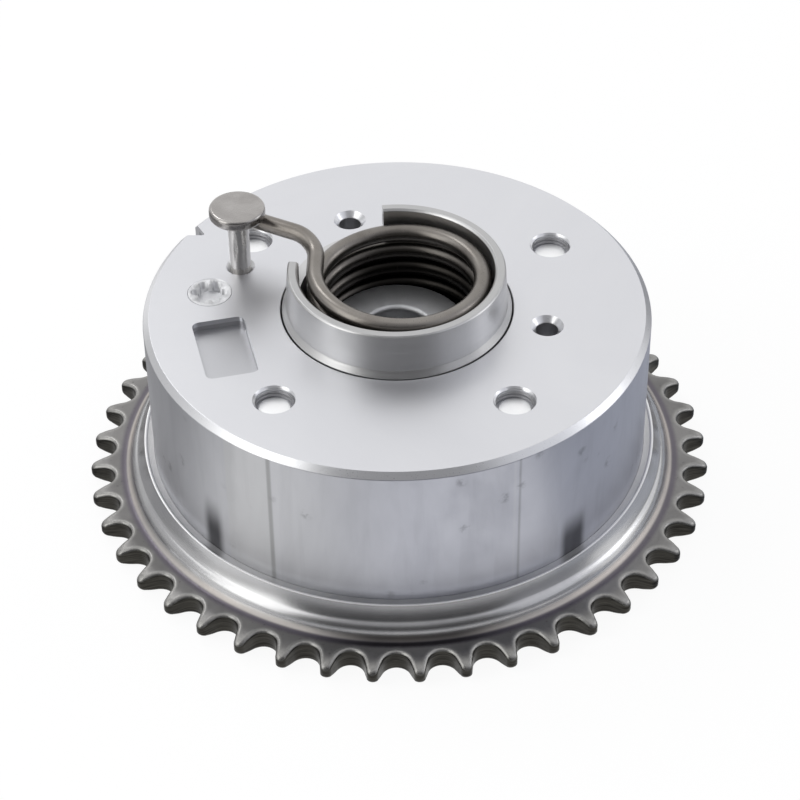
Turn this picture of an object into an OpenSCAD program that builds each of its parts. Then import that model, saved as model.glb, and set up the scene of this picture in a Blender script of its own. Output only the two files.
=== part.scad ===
// Vane-type camshaft phaser: chain sprocket, vane housing, rotor, bias spring and lock pin.
// Millimetres. The rear face of the sprocket lies on z = 0 and the camshaft axis is Z.

/* [Chain sprocket] */
// Number of chain teeth
tooth_count = 44; // [43:1:52]
// Pitch of the timing chain
chain_pitch = 8; // [7.9:0.05:9.6]
// Diameter of the chain's bushes
bush_d = 5; // [4.6:0.05:5.6]
// Height of a tooth above its root
tooth_rise = 4.43; // [3.8:0.01:4.8]
// Half angle of the round seat between two teeth
seat_half = 69; // [62:0.5:74]
// Thickness of the toothed flange
flange_t = 4.2; // [3.6:0.1:4.8]
// Depth of the side relief on each face of a tooth
relief_t = 1.04; // [0.6:0.02:1.3]
// Radius of the side relief
relief_r = 8; // [7:0.5:12]
// Turn of the first tooth about the axis
tooth_turn = 19.49; // [0:0.01:90]

/* [Rear plate] */
// Thickness of the plate that closes the chambers
plate_t = 6.9; // [6.6:0.1:8]
// Gap between the housing's wall and the lip that centres it
lip_gap = 0.05; // [0.03:0.01:0.1]
// Height of the lip's ledge above the plate
lip_h = 2.4; // [2:0.1:3]
// Width of the lip from the housing to its bead
lip_w = 4.6; // [4.3:0.1:4.8]
// Radius of the rotor's journal in the plate
journal_r = 16.4; // [15.6:0.1:17.5]

/* [Housing] */
// Outer radius of the housing
body_r = 45.7; // [44:0.1:46.4]
// Thickness of the outer wall
wall_t = 5.7; // [5.2:0.1:6.4]
// Height of the vane chambers
chamber_h = 24.2; // [21:0.1:28]
// Thickness of the face
face_t = 7; // [6.4:0.1:8.5]
// Chamfer round the face
face_chamfer = 1.1; // [0.5:0.1:2]
// Half angle of a lug
lug_half = 11.3; // [10.8:0.1:11.8]
// Shift of the bolts outwards from the middle of the lugs
bolt_shift = 1.36; // [0.6:0.02:2.2]
// Nominal diameter of a bolt
bolt_d = 6; // [5:0.1:6.4]
// Depth of the bolt ends below the face
bolt_sink = 2.2; // [1.5:0.1:3.5]
// Radius of the circle of tool holes
tool_circle = 27.4; // [26.6:0.1:28.4]
// Diameter of a tool hole
tool_d = 4; // [3.4:0.1:4.6]
// Depth of a tool hole
tool_depth = 5; // [3.5:0.1:5.6]
// Length of the pocket in the face
pocket_l = 16; // [12:0.1:18]
// Width of the pocket in the face
pocket_w = 9.4; // [7:0.1:10]
// Depth of the pocket in the face
pocket_depth = 1.9; // [1:0.1:3]
// Width of the notch at the rim of the face
notch_w = 4.6; // [3:0.1:6]
// Reach of the notch into the face
notch_reach = 4; // [2.5:0.1:5]

/* [Rotor] */
// Radius of the rotor's hub
hub_r = 24; // [23.4:0.1:24.8]
// Half angle of a plain vane
vane_half = 9.5; // [8:0.1:10]
// Half angle of the vane that holds the lock pin
lock_vane_half = 17.5; // [16:0.1:17.8]
// Radius of the bore for the camshaft bolt
bolt_bore_r = 5.7; // [5.2:0.05:6.4]
// Radius of the rear pilot for the camshaft nose
pilot_r = 12.5; // [12:0.1:13.2]
// Depth of the rear pilot
pilot_depth = 5; // [3:0.1:7]
// Gap between the rotor's nose and the coils
nose_gap = 0.65; // [0.5:0.05:1.8]
// Height of the nose above the rotor's front
nose_h = 2.1; // [0.5:0.1:3]
// Depth of the spring groove below the rotor's front
groove_depth = 4.5; // [3.6:0.1:6]

/* [Spring and sleeve] */
// Outer radius of the sleeve at its rim
sleeve_r = 19.5; // [19.1:0.05:19.8]
// Wall of the sleeve at its rim
sleeve_wall = 1.9; // [1.4:0.05:2.1]
// Height of the sleeve above the face
sleeve_h = 8.4; // [7:0.1:10]
// Diameter of the spring wire
wire_d = 3.1; // [2.7:0.05:3.4]
// Gap between the coils and the sleeve
coil_gap = 1.1; // [0.8:0.05:1.4]
// Rise of a coil turn
coil_pitch = 3.75; // [3.5:0.05:4.1]
// Straight length of the leg before its bend
leg_straight = 3.6; // [3:0.1:5]
// Radius of the leg's bend
leg_bend_r = 7.2; // [6.5:0.1:8]
// Diameter of the spring pin
pin_d = 3.9; // [3.5:0.1:4.4]
// Diameter of the pin's head
pin_head_d = 10.2; // [8:0.1:11]
// Height of the pin above the face
pin_h = 13.5; // [12.6:0.1:16]

/* [Lock pin] */
// Distance of the lock pin from the wall of the chambers
lock_inset = 5.8; // [5.4:0.1:6.6]
// Diameter of the lock pin
lock_d = 7.2; // [6.4:0.1:7.4]
// Diameter of the lock seat in the face
lock_seat_d = 7.9; // [7.6:0.1:8.4]

/* [Hidden] */
$fn = 96;

// Clearances: sliding parts, axial play of the rotor, seated parts, and the overrun of cutting shapes
slide_gap = 0.08;
end_gap = 0.06;
seat_gap = 0.02;
over = 1;

// Heights along the axis
chamber_z = plate_t;
face_under_z = plate_t + chamber_h;
face_z = face_under_z + face_t;
rotor_z0 = chamber_z + end_gap;
rotor_z1 = face_under_z - end_gap;
rotor_h = rotor_z1 - rotor_z0;
journal_z = 0.4;
nose_z = rotor_z1 + nose_h;
groove_z = rotor_z1 - groove_depth;
rim_z = face_z + sleeve_h;

// Sprocket
pitch_r = chain_pitch / 2 / sin(180 / tooth_count);
seat_r = 0.505 * bush_d;
root_r = pitch_r - seat_r;
tip_r = root_r + tooth_rise;
relief_l = sqrt(2 * relief_r * relief_t - relief_t * relief_t);
relief_start = tip_r - relief_l;
relief_steps = 5;
lip_r = body_r + lip_gap;
lip_z = plate_t + lip_h;
bead_r = lip_r + lip_w;
bead_curve = 2.45;
bead_slope = 65;
bead_h = 2.65;
ridge_at = 1.4;
ridge_w = 0.35;
ridge_h = 0.3;
cove_sag = [0.15, 0.08];
edge = 0.4;

// Housing
chamber_r = body_r - wall_t;
lug_tip_r = hub_r + slide_gap;
bolt_circle = (lug_tip_r + chamber_r) / 2 + bolt_shift;
bolt_angles = [31.4, 143, 230.3, 306.9];
bolt_hole_gap = 0.05;
bolt_hole_r = bolt_d / 2 + bolt_hole_gap;
bolt_mouth_w = 0.55;
bolt_mouth_r = bolt_d / 2 + bolt_mouth_w;
bolt_end_z = face_z - bolt_sink;
bolt_head_r = bolt_d * 5 / 6;
bolt_head_h = 3.4;
bolt_head_z = 0.2;
bolt_head_room = 0.3;
face_hole_gap = 0.25;
tool_angles = [-13.5, 108.4];
tool_chamfer = 1;
pocket_inset = 7.57;
pocket_angle = 200.39;
pocket_turn = 13;
pocket_corner_r = 1.2;
notch_angle = 148.5;
notch_depth = 3.4;
seal_ring_d = 1.78;
seal_ring_r = body_r - wall_t / 2;
seal_groove_depth = 1.5;
seal_groove_w = 2.2;
dowel_d = 3;
dowel_h = 6;
dowel_inset = 1.8;
dowel_circle = chamber_r - dowel_inset;
dowel_turn = 7.8;
dowel_angle = bolt_angles[3] + dowel_turn;

// Rotor and vanes: the wide vane first, the others clear of both lugs over the whole travel
stop_gap = 0.7;
lug_clear = [17, stop_gap, 2.5, 6];
lock_angle = bolt_angles[1] + lug_half + lug_clear[1] + lock_vane_half;
vane_angles = concat(lock_angle, [for (i = [2, 3, 0]) bolt_angles[i] + lug_half + lug_clear[i] + vane_half]);
vane_halves = [lock_vane_half, vane_half, vane_half, vane_half];
vane_tip_r = chamber_r - slide_gap;
feed_circle = 9.1;
feed_r = 1.2;
port_r = 0.9;
feed_rise = 6;
feed_z = rotor_z0 + feed_rise;
feed_step = 6;
feed_side = 3.6;
cam_dowel_r = 2;
cam_dowel_angle = 30;
cam_dowel_depth = 6;
bore_chamfer = 0.9;

// Seals in the vane tips and the lug tips
seal_w = 3;
seal_h = 2.8;
seal_room = 0.6;
seal_side_gap = 0.03;
seal_end_gap = 0.15;
leaf_t = 0.2;
leaf_steps = 10;
seal_lean = [10.5, 0, 0, 0];

// Sleeve
sleeve_in_r = sleeve_r - sleeve_wall;
sleeve_seat_w = 1.2;
sleeve_seat_r = sleeve_r + sleeve_seat_w;
sleeve_flare_h = 1.2;
sleeve_taper_w = 0.45;
sleeve_taper_r = sleeve_r + sleeve_taper_w;
face_hole_r = sleeve_seat_r + face_hole_gap;
slot_from = 97.5;
slot_to = 173;
slot_sill = 2.2;
slot_floor_z = face_z + slot_sill;

// Bias spring: the coil climbs clockwise to the leg, which leaves through the sleeve's slot to the pin
wire_r = wire_d / 2;
coil_r = sleeve_in_r - wire_r - coil_gap;
nose_r = coil_r - wire_r - nose_gap;
wire_sides = 12;
coil_exit = 178;
coil_steps = 24;
coil_foot_gap = 0.15;
coil_low_z = groove_z + wire_r + coil_foot_gap;
leg_rise = 0.25;
leg_z = rim_z + leg_rise;
leg_lift = 1;
level_turns = 0.08;
coil_shift = [0.4, 0];
coil_turns = (leg_z - leg_lift - coil_low_z) / coil_pitch + level_turns;
leg_turn = 64.5;
leg_tail = 12.8;
leg_pin_at = 9.8;
bend_steps = 8;
tang_bend_r = 2.2;
tang_turn = 80;
tang_slot_gap = 0.3;
tang_bite = 1.3;
tang_end_r = sleeve_in_r + tang_bite;

// Spring pin
pin_r = pin_d / 2;
pin_head_r = pin_head_d / 2;
pin_head_t = 2;
pin_sunk = 5;
pin_foot_chamfer = 0.7;

// Lock pin
lock_r = lock_d / 2;
lock_bore_r = lock_r + slide_gap;
lock_nose_r = 2.6;
lock_nose_l = 3.4;
lock_l = 12.4;
lock_circle = chamber_r - lock_inset;
lock_tip_gap = 0.2;
lock_tip_z = rotor_z1 - lock_tip_gap;
lock_pocket_r = 2.9;
lock_pocket_l = 6;
lock_cap_t = 2;
lock_wire_r = 0.45;
lock_coil_r = 2.2;
lock_turns = 8;
lock_sides = 8;
lock_steps = 12;
lock_seat_r = lock_seat_d / 2;
lock_seat_bore_gap = 0.15;
lock_seat_bore_r = lock_nose_r + lock_seat_bore_gap;
lock_seat_bore_l = 3.6;
star_depth = 1.4;
star_r = 2.3;
star_lobe_r = 0.85;
star_lobe_at = 2.45;

// Point on a circle
function polar(r, a) = [r * cos(a), r * sin(a)];
// Unit vector of v
function unit(v) = v / norm(v);
// Smooth step from 0 to 1
function ease(x) = let (t = min(max(x, 0), 1)) t * t * (3 - 2 * t);

// Points of a tube of radius r along a path
function tube_ring(path, i, r, sides) =
    let (
        last = len(path) - 1,
        along = unit(path[min(i + 1, last)] - path[max(i - 1, 0)]),
        side = unit(cross(along, [0, 0, 1])),
        up = cross(side, along)
    )
    [for (k = [0 : sides - 1]) path[i] + r * (cos(360 * k / sides) * side + sin(360 * k / sides) * up)];

// Two triangles between a side of one ring and the next
function tube_side(i, k, sides) =
    let (
        a = i * sides + k,
        b = i * sides + (k + 1) % sides
    )
    [[a, b, a + sides], [b, b + sides, a + sides]];

// Round wire along a path of points
module wire(path, r, sides) {
    rings = len(path);
    points = [for (i = [0 : rings - 1]) each tube_ring(path, i, r, sides)];
    skin = [for (i = [0 : rings - 2], k = [0 : sides - 1]) each tube_side(i, k, sides)];
    first_cap = [[for (k = [sides - 1 : -1 : 0]) k]];
    last_cap = [[for (k = [0 : sides - 1]) (rings - 1) * sides + k]];
    polyhedron(points = points, faces = concat(first_cap, skin, last_cap), convexity = 10);
}

// Sector of a ring about the axis, from radius r0 to r1
module sector(a, half, r0, r1, z0, z1) {
    rotate([0, 0, a - half])
        rotate_extrude(angle = 2 * half)
            translate([r0, z0])
                square([r1 - r0, z1 - z0]);
}

// Cylinder at a polar place
module drill(r_at, a, r, z0, z1) {
    translate(concat(polar(r_at, a), z0))
        cylinder(r = r, h = z1 - z0);
}

// Conical mouth of a hole that opens upwards at z
module mouth(r_at, a, r, depth, z) {
    translate(concat(polar(r_at, a), z - depth))
        cylinder(r1 = r, r2 = r + depth + over, h = depth + over);
}

// Six-lobe recess seen from above
module star(r, lobe_r, lobe_at) {
    circle(r = r, $fn = 48);
    for (i = [0 : 5])
        translate(polar(lobe_at, i * 60))
            circle(r = lobe_r, $fn = 24);
}

// Gap between two teeth: a round seat that opens into straight flanks
module tooth_gap() {
    low = pitch_r - seat_r * cos(seat_half);
    half_w = seat_r * sin(seat_half);
    run = tip_r + over - low;
    spread = half_w + run / tan(seat_half);
    translate([pitch_r, 0])
        circle(r = seat_r, $fn = 48);
    polygon([[low, -half_w], [low + run, -spread], [low + run, spread], [low, half_w]]);
}

// Depth of the side relief at radius r
function relief(r) = relief_r - sqrt(relief_r * relief_r - pow(r - relief_start, 2));

// Section of the sprocket plate, from the bore outwards along the rear and back along the front
module plate_section() {
    radii = [for (i = [0 : relief_steps]) relief_start + relief_l * i / relief_steps];
    rear = [for (r = radii) [r, relief(r)]];
    front = [for (i = [relief_steps : -1 : 0]) [radii[i], flange_t - relief(radii[i])]];
    valley = [bead_r - bead_curve * (1 - cos(bead_slope)), flange_t + bead_h];
    bead_end = bead_curve * [cos(bead_slope), sin(bead_slope)];
    bead = [for (a = [0 : bead_slope / 5 : bead_slope]) valley - bead_end + bead_curve * [cos(a), sin(a)]];
    ridge_r = lip_r + ridge_at;
    ridge_z = lip_z + ridge_h;
    ridge_edge = [ridge_r + ridge_w, ridge_z - edge / 4];
    lip = [(valley + ridge_edge) / 2 - cove_sag, ridge_edge, [ridge_r + ridge_w - edge / 4, ridge_z],
        [ridge_r, ridge_z], [ridge_r - ridge_h, lip_z], [lip_r, lip_z], [lip_r, plate_t]];
    bore_r = journal_r + slide_gap;
    bore = [[bore_r, plate_t], [bore_r, edge], [bore_r + edge, 0]];
    polygon(concat(rear, front, [[bead_r - edge / 4, flange_t]], bead, lip, bore));
}

// Rear plate with the chain teeth
module sprocket_plate() {
    color([0.42, 0.41, 0.41])
    difference() {
        rotate_extrude($fn = 180)
            plate_section();
        for (i = [0 : tooth_count - 1])
            rotate([0, 0, tooth_turn + (i + 0.5) * 360 / tooth_count])
                translate([0, 0, -over])
                    linear_extrude(flange_t + 2 * over)
                        tooth_gap();
        for (a = bolt_angles) {
            drill(bolt_circle, a, bolt_hole_r, -over, plate_t + over);
            drill(bolt_circle, a, bolt_head_r + bolt_head_room, -over, bolt_head_z + bolt_head_h);
        }
        drill(dowel_circle, dowel_angle, dowel_d / 2 + seat_gap, plate_t - dowel_h / 2 - seat_gap, plate_t + over);
    }
}

// Section of the housing before its chambers are cut, with the groove for the ring seal
module block_section() {
    polygon([[face_hole_r, plate_t], [face_hole_r, face_z - edge], [face_hole_r + edge, face_z],
        [body_r - face_chamfer, face_z], [body_r, face_z - face_chamfer], [body_r, plate_t + edge],
        [body_r - edge, plate_t], [seal_ring_r + seal_groove_w / 2, plate_t],
        [seal_ring_r + seal_groove_w / 2, plate_t + seal_groove_depth],
        [seal_ring_r - seal_groove_w / 2, plate_t + seal_groove_depth],
        [seal_ring_r - seal_groove_w / 2, plate_t]]);
}

// Wedge from the axis that reaches past radius r
module wedge(a, half, r) {
    reach = r / cos(half) + over;
    polygon([[0, 0], polar(reach, a - half), polar(reach, a + half)]);
}

// Plan of the chambers: all inside the wall but the lugs, with the slots for their seals
module chamber_plan() {
    difference() {
        circle(r = chamber_r, $fn = 180);
        for (a = bolt_angles)
            difference() {
                wedge(a, lug_half, chamber_r);
                circle(r = lug_tip_r);
            }
    }
    for (a = bolt_angles)
        rotate(a)
            translate([lug_tip_r - over, -seal_w / 2])
                square([seal_h + seal_room + over, seal_w]);
}

// Rectangle with round corners
module round_rect(l, w, r) {
    square([l - 2 * r, w], center = true);
    square([l, w - 2 * r], center = true);
    for (x = [-1, 1], y = [-1, 1])
        translate([x * (l / 2 - r), y * (w / 2 - r)])
            circle(r = r, $fn = 32);
}

// Cup with the face, the wall and the four lugs
module housing() {
    color([0.84, 0.85, 0.87])
    difference() {
        rotate_extrude($fn = 180)
            block_section();
        translate([0, 0, chamber_z - over])
            linear_extrude(chamber_h + over)
                chamber_plan();
        for (a = bolt_angles) {
            drill(bolt_circle, a, bolt_hole_r, plate_t - over, face_z + over);
            drill(bolt_circle, a, bolt_mouth_r, bolt_end_z, face_z + over);
            mouth(bolt_circle, a, bolt_mouth_r, edge / 2, face_z);
        }
        for (a = tool_angles) {
            drill(tool_circle, a, tool_d / 2, face_z - tool_depth, face_z + over);
            mouth(tool_circle, a, tool_d / 2, tool_chamfer, face_z);
        }
        drill(lock_circle, lock_angle, lock_seat_r + seat_gap, face_under_z - over, face_z + over);
        translate(concat(pin_at, face_z - pin_sunk - seat_gap))
            cylinder(r = pin_r + seat_gap, h = pin_sunk + over);
        translate(concat(pin_at, face_z - pin_foot_chamfer))
            cylinder(r1 = pin_r, r2 = pin_r + pin_foot_chamfer + over, h = pin_foot_chamfer + over);
        translate(concat(polar(chamber_r - pocket_inset, pocket_angle), face_z - pocket_depth))
            rotate([0, 0, 90 + pocket_turn])
                linear_extrude(pocket_depth + over)
                    round_rect(pocket_l, pocket_w, pocket_corner_r);
        rotate([0, 0, notch_angle])
            translate([body_r - notch_reach, 0, face_z - notch_depth])
                linear_extrude(notch_depth + over)
                    polygon([[0, 0], [2 * notch_reach, -notch_w], [2 * notch_reach, notch_w]]);
        drill(dowel_circle, dowel_angle, dowel_d / 2 + seat_gap, plate_t - over, plate_t + dowel_h / 2 + seat_gap);
    }
}

// Bolts from the rear, with a six-lobe recess in the head and a chamfered end
module cover_bolts() {
    shank_z = bolt_head_z + bolt_head_h;
    end_chamfer = bolt_d / 8;
    color([0.72, 0.73, 0.75])
    for (a = bolt_angles)
        translate(concat(polar(bolt_circle, a), 0))
            difference() {
                union() {
                    translate([0, 0, bolt_head_z])
                        cylinder(r = bolt_head_r, h = bolt_head_h);
                    translate([0, 0, shank_z])
                        cylinder(r = bolt_d / 2, h = bolt_end_z - end_chamfer - shank_z);
                    translate([0, 0, bolt_end_z - end_chamfer])
                        cylinder(r1 = bolt_d / 2, r2 = bolt_d / 2 - end_chamfer, h = end_chamfer);
                }
                translate([0, 0, bolt_head_z - over])
                    linear_extrude(over + bolt_head_h * 0.6)
                        star(bolt_d * 0.36, bolt_d * 0.13, bolt_d * 0.38);
            }
}

// Ring seal in the groove of the housing
module cover_seal() {
    ring_r = seal_groove_depth / 2 - seat_gap;
    color([0.12, 0.12, 0.12])
    translate([0, 0, plate_t + seal_groove_depth / 2])
        rotate_extrude()
            translate([seal_ring_r, 0])
                circle(r = min(ring_r, seal_ring_d / 2), $fn = 32);
}

// Dowel that sets the housing's angle on the plate
module locating_dowel() {
    color([0.7, 0.7, 0.72])
    drill(dowel_circle, dowel_angle, dowel_d / 2, plate_t - dowel_h / 2, plate_t + dowel_h / 2);
}

// Insert in the face: a six-lobe recess in front and the lock pin's seat behind
module lock_seat() {
    color([0.68, 0.69, 0.72])
    difference() {
        drill(lock_circle, lock_angle, lock_seat_r, face_under_z, face_z);
        translate(concat(polar(lock_circle, lock_angle), face_z - star_depth))
            linear_extrude(star_depth + over)
                star(star_r, star_lobe_r, star_lobe_at);
        drill(lock_circle, lock_angle, lock_seat_bore_r, face_under_z - over, face_under_z + lock_seat_bore_l);
    }
}

// Leg of the bias spring in plan: where it leaves the coil, its bend and its straight tail
leg_from = coil_shift + polar(coil_r, coil_exit);
leg_heading = coil_exit - 90;
bend_from = leg_from + leg_straight * polar(1, leg_heading);
bend_centre = bend_from + leg_bend_r * polar(1, leg_heading + 90);
tail_heading = leg_heading + leg_turn;
tail_from = bend_centre + leg_bend_r * polar(1, tail_heading - 90);
tail_to = tail_from + leg_tail * polar(1, tail_heading);
pin_at = tail_from + leg_pin_at * polar(1, tail_heading)
    + (wire_r + pin_r + seat_gap) * polar(1, tail_heading + 90);

// Height of the coil, t turns below the leg
function coil_z(t) = leg_z - leg_lift - coil_pitch * (max(t, level_turns) - level_turns);

// Point of the coil, t turns below the leg
function coil_point(t) = concat(coil_shift + polar(coil_r, coil_exit + 360 * t), coil_z(t));

// Tang at the foot of the coil: it turns outwards into the slot at the foot of the sleeve
tang_angle = coil_exit + 360 * coil_turns;
tang_from = coil_shift + polar(coil_r, tang_angle);
tang_heading = tang_angle + 90;
tang_centre = tang_from + tang_bend_r * polar(1, tang_heading - 90);
tang_out = tang_heading - tang_turn;
tang_bend_to = tang_centre + tang_bend_r * polar(1, tang_out + 90);
tang_reach = tang_end_r - norm(tang_bend_to);
tang_to = tang_bend_to + tang_reach * polar(1, tang_out);
tang_slot_angle = atan2(tang_to[1], tang_to[0]);

// Torsion spring that turns the rotor back to its lock stop
module bias_spring() {
    low_z = coil_z(coil_turns);
    tang = concat([concat(tang_to, low_z)], [for (i = [bend_steps : -1 : 1])
        concat(tang_centre + tang_bend_r * polar(1, tang_heading + 90 - tang_turn * i / bend_steps), low_z)]);
    turns = coil_steps * ceil(coil_turns);
    coil = [for (i = [turns : -1 : 0]) coil_point(coil_turns * i / turns)];
    bend = [for (i = [0 : bend_steps])
        concat(bend_centre + leg_bend_r * polar(1, leg_heading - 90 + leg_turn * i / bend_steps),
            leg_z - leg_lift * (1 - ease(i / bend_steps)))];
    color([0.33, 0.31, 0.29])
    wire(concat(tang, coil, bend, [concat(tail_to, leg_z)]), wire_r, wire_sides);
}

// Headed pin that holds the spring's leg
module spring_pin() {
    top_z = face_z + pin_h;
    under_z = top_z - pin_head_t;
    round_h = pin_head_t / 4;
    color([0.62, 0.6, 0.57])
    translate(concat(pin_at, 0))
        rotate_extrude()
            polygon([[0, face_z - pin_sunk], [pin_r, face_z - pin_sunk], [pin_r, under_z],
                [pin_head_r - round_h, under_z], [pin_head_r - round_h / 4, under_z + round_h / 2],
                [pin_head_r, under_z + 2 * round_h], [pin_head_r - round_h / 4, top_z - round_h],
                [pin_head_r - round_h, top_z - round_h / 4], [pin_head_r - 2 * round_h, top_z], [0, top_z]]);
}

// Section of the rotor before its vanes are cut: journal, disc, spring groove and nose round the bolt's bore
module core_section() {
    pilot_z = journal_z + pilot_depth;
    groove_r = sleeve_seat_r + seat_gap;
    polygon([[bolt_bore_r, pilot_z], [pilot_r, pilot_z], [pilot_r, journal_z + edge], [pilot_r + edge, journal_z],
        [journal_r - edge, journal_z], [journal_r, journal_z + edge], [journal_r, rotor_z0], [vane_tip_r, rotor_z0],
        [vane_tip_r, rotor_z1], [groove_r, rotor_z1], [groove_r, groove_z], [nose_r, groove_z], [nose_r, nose_z - edge],
        [nose_r - edge, nose_z], [bolt_bore_r + bore_chamfer, nose_z], [bolt_bore_r, nose_z - bore_chamfer]]);
}

// Angle of the seal in vane i
function vane_seal_angle(i) = vane_angles[i] + seal_lean[i];

// Plan of what is cut away between the vanes, with the slots for their seals
module vane_gap_plan() {
    slot_l = seal_h + seal_room;
    difference() {
        circle(r = vane_tip_r + over);
        circle(r = hub_r);
        for (i = [0 : 3])
            wedge(vane_angles[i], vane_halves[i], vane_tip_r + over);
    }
    for (i = [0 : 3])
        rotate(vane_seal_angle(i))
            translate([vane_tip_r - slot_l, -seal_w / 2])
                square([slot_l + over, seal_w]);
}

// Hub with four vanes, oil feeds and the rear pilot
module rotor() {
    pilot_z = journal_z + pilot_depth;
    color([0.45, 0.47, 0.52])
    difference() {
        rotate_extrude()
            core_section();
        translate([0, 0, rotor_z0 - over])
            linear_extrude(rotor_h + 2 * over)
                vane_gap_plan();
        for (i = [0 : 3], side = [-1, 1])
            oil_feed(vane_angles[i] + side * (vane_halves[i] + feed_side), feed_z + (1 + side) / 2 * feed_step);
        drill(lock_circle, lock_angle, lock_bore_r, rotor_z0 - over, rotor_z1 + over);
        drill(feed_circle, cam_dowel_angle, cam_dowel_r, pilot_z - over, pilot_z + cam_dowel_depth);
    }
}

// Oil feed from the rear pilot up to z and out to the hub
module oil_feed(a, z) {
    drill(feed_circle, a, feed_r, journal_z + pilot_depth - over, z + 2 * port_r);
    rotate([0, 0, a])
        translate([feed_circle, 0, z])
            rotate([0, 90, 0])
                cylinder(r = port_r, h = hub_r + over - feed_circle);
}

// Sleeve round the spring, with a slot for the leg and a notch at its foot for the tang
module spring_sleeve() {
    taper_z = face_z + sleeve_flare_h;
    slot_mid = (slot_from + slot_to) / 2;
    notch_w = wire_d + 2 * tang_slot_gap;
    notch_h = coil_low_z + wire_r + tang_slot_gap - groove_z;
    color([0.75, 0.75, 0.76])
    difference() {
        rotate_extrude()
            polygon([[sleeve_in_r, groove_z], [sleeve_seat_r, groove_z], [sleeve_seat_r, face_z],
                [sleeve_taper_r, taper_z], [sleeve_r, rim_z - edge / 2], [sleeve_r - edge / 2, rim_z],
                [sleeve_in_r + edge, rim_z], [sleeve_in_r, rim_z - edge]]);
        sector(slot_mid, (slot_to - slot_from) / 2, sleeve_in_r - over, sleeve_seat_r + over, slot_floor_z, rim_z + over);
        rotate([0, 0, tang_slot_angle])
            translate([sleeve_in_r - over, -notch_w / 2, groove_z - over])
                cube([sleeve_seat_r - sleeve_in_r + 2 * over, notch_w, notch_h + over]);
    }
}

// Lock pin with its nose upwards and a pocket for its spring below
module lock_pin() {
    low_z = lock_tip_z - lock_l;
    color([0.6, 0.61, 0.64])
    translate(concat(polar(lock_circle, lock_angle), 0))
        rotate_extrude()
            polygon([[0, low_z + lock_pocket_l], [lock_pocket_r, low_z + lock_pocket_l], [lock_pocket_r, low_z],
                [lock_r - edge, low_z], [lock_r, low_z + edge], [lock_r, lock_tip_z - lock_nose_l],
                [lock_nose_r, lock_tip_z - lock_nose_l], [lock_nose_r - edge, lock_tip_z], [0, lock_tip_z]]);
}

// Compression spring under the lock pin
module lock_spring() {
    z0 = rotor_z0 + lock_cap_t + lock_wire_r;
    z1 = lock_tip_z - lock_l + lock_pocket_l - lock_wire_r;
    count = lock_turns * lock_steps;
    color([0.5, 0.5, 0.52])
    translate(concat(polar(lock_circle, lock_angle), 0))
        wire([for (i = [0 : count]) concat(polar(lock_coil_r, 360 * i / lock_steps), z0 + (z1 - z0) * i / count)],
            lock_wire_r, lock_sides);
}

// Cap that closes the lock pin's bore behind its spring
module lock_cap() {
    color([0.6, 0.6, 0.6])
    drill(lock_circle, lock_angle, lock_bore_r - seat_gap, rotor_z0, rotor_z0 + lock_cap_t);
}

// Seal bar along the axis, with its outer face bowed like the wall it meets
module seal_bar(a, r0, r1) {
    w = seal_w - 2 * seal_side_gap;
    color([0.2, 0.18, 0.16])
    rotate([0, 0, a])
        translate([r0, -w / 2, rotor_z0 + seal_end_gap])
            cube([r1 - r0, w, rotor_h - 2 * seal_end_gap]);
}

// Leaf spring behind a seal bar: a bowed strip between radius r0 and r1
module leaf(a, r0, r1) {
    rise = r1 - r0 - leaf_t - 2 * seat_gap;
    run = rotor_h - 4 * seal_end_gap;
    low = [for (i = [0 : leaf_steps]) [r0 + seat_gap + rise * sin(180 * i / leaf_steps), run * i / leaf_steps]];
    high = [for (i = [leaf_steps : -1 : 0]) low[i] + [leaf_t, 0]];
    color([0.7, 0.7, 0.7])
    rotate([0, 0, a])
        translate([0, seal_w / 3, rotor_z0 + 2 * seal_end_gap])
            rotate([90, 0, 0])
                linear_extrude(seal_w * 2 / 3)
                    polygon(concat(low, high));
}

// Seal bar in vane i
module vane_seal(i) {
    seal_bar(vane_seal_angle(i), vane_tip_r - seal_h, vane_tip_r - seal_h + seal_bar_h(vane_tip_r));
}

// Leaf spring in vane i
module vane_seal_spring(i) {
    leaf(vane_seal_angle(i), vane_tip_r - seal_h - seal_room, vane_tip_r - seal_h);
}

// Height of a flat-faced bar whose corners stay inside radius r
function seal_bar_h(r) = sqrt(r * r - seal_w * seal_w / 4) - (r - seal_h);

// Seal bar in lug i
module lug_seal(i) {
    seal_bar(bolt_angles[i], lug_tip_r, lug_tip_r + seal_h);
}

// Leaf spring in lug i
module lug_seal_spring(i) {
    leaf(bolt_angles[i], lug_tip_r + seal_h, lug_tip_r + seal_h + seal_room);
}

sprocket_plate();
housing();
cover_bolts();
cover_seal();
locating_dowel();
lock_seat();
spring_pin();
bias_spring();
rotor();
spring_sleeve();
lock_pin();
lock_spring();
lock_cap();
vane_seal(0);  // vane_seal_1
vane_seal(1);  // vane_seal_2
vane_seal(2);  // vane_seal_3
vane_seal(3);  // vane_seal_4
vane_seal_spring(0);  // vane_seal_spring_1
vane_seal_spring(1);  // vane_seal_spring_2
vane_seal_spring(2);  // vane_seal_spring_3
vane_seal_spring(3);  // vane_seal_spring_4
lug_seal(0);  // lug_seal_1
lug_seal(1);  // lug_seal_2
lug_seal(2);  // lug_seal_3
lug_seal(3);  // lug_seal_4
lug_seal_spring(0);  // lug_seal_spring_1
lug_seal_spring(1);  // lug_seal_spring_2
lug_seal_spring(2);  // lug_seal_spring_3
lug_seal_spring(3);  // lug_seal_spring_4
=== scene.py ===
# %% [markdown]
# # A cam phaser, dressed in Blender
# A cam phaser turns a camshaft a little against its timing chain. Seen from outside it is turned and ground
# steel: a chain sprocket, a round housing, a slotted sleeve, a coiled spring and a headed pin. The packed
# CAD model gives every place and size, in metres. The cells below make the shown surfaces from formulas,
# with numpy.

# %% Frame
import math

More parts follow.
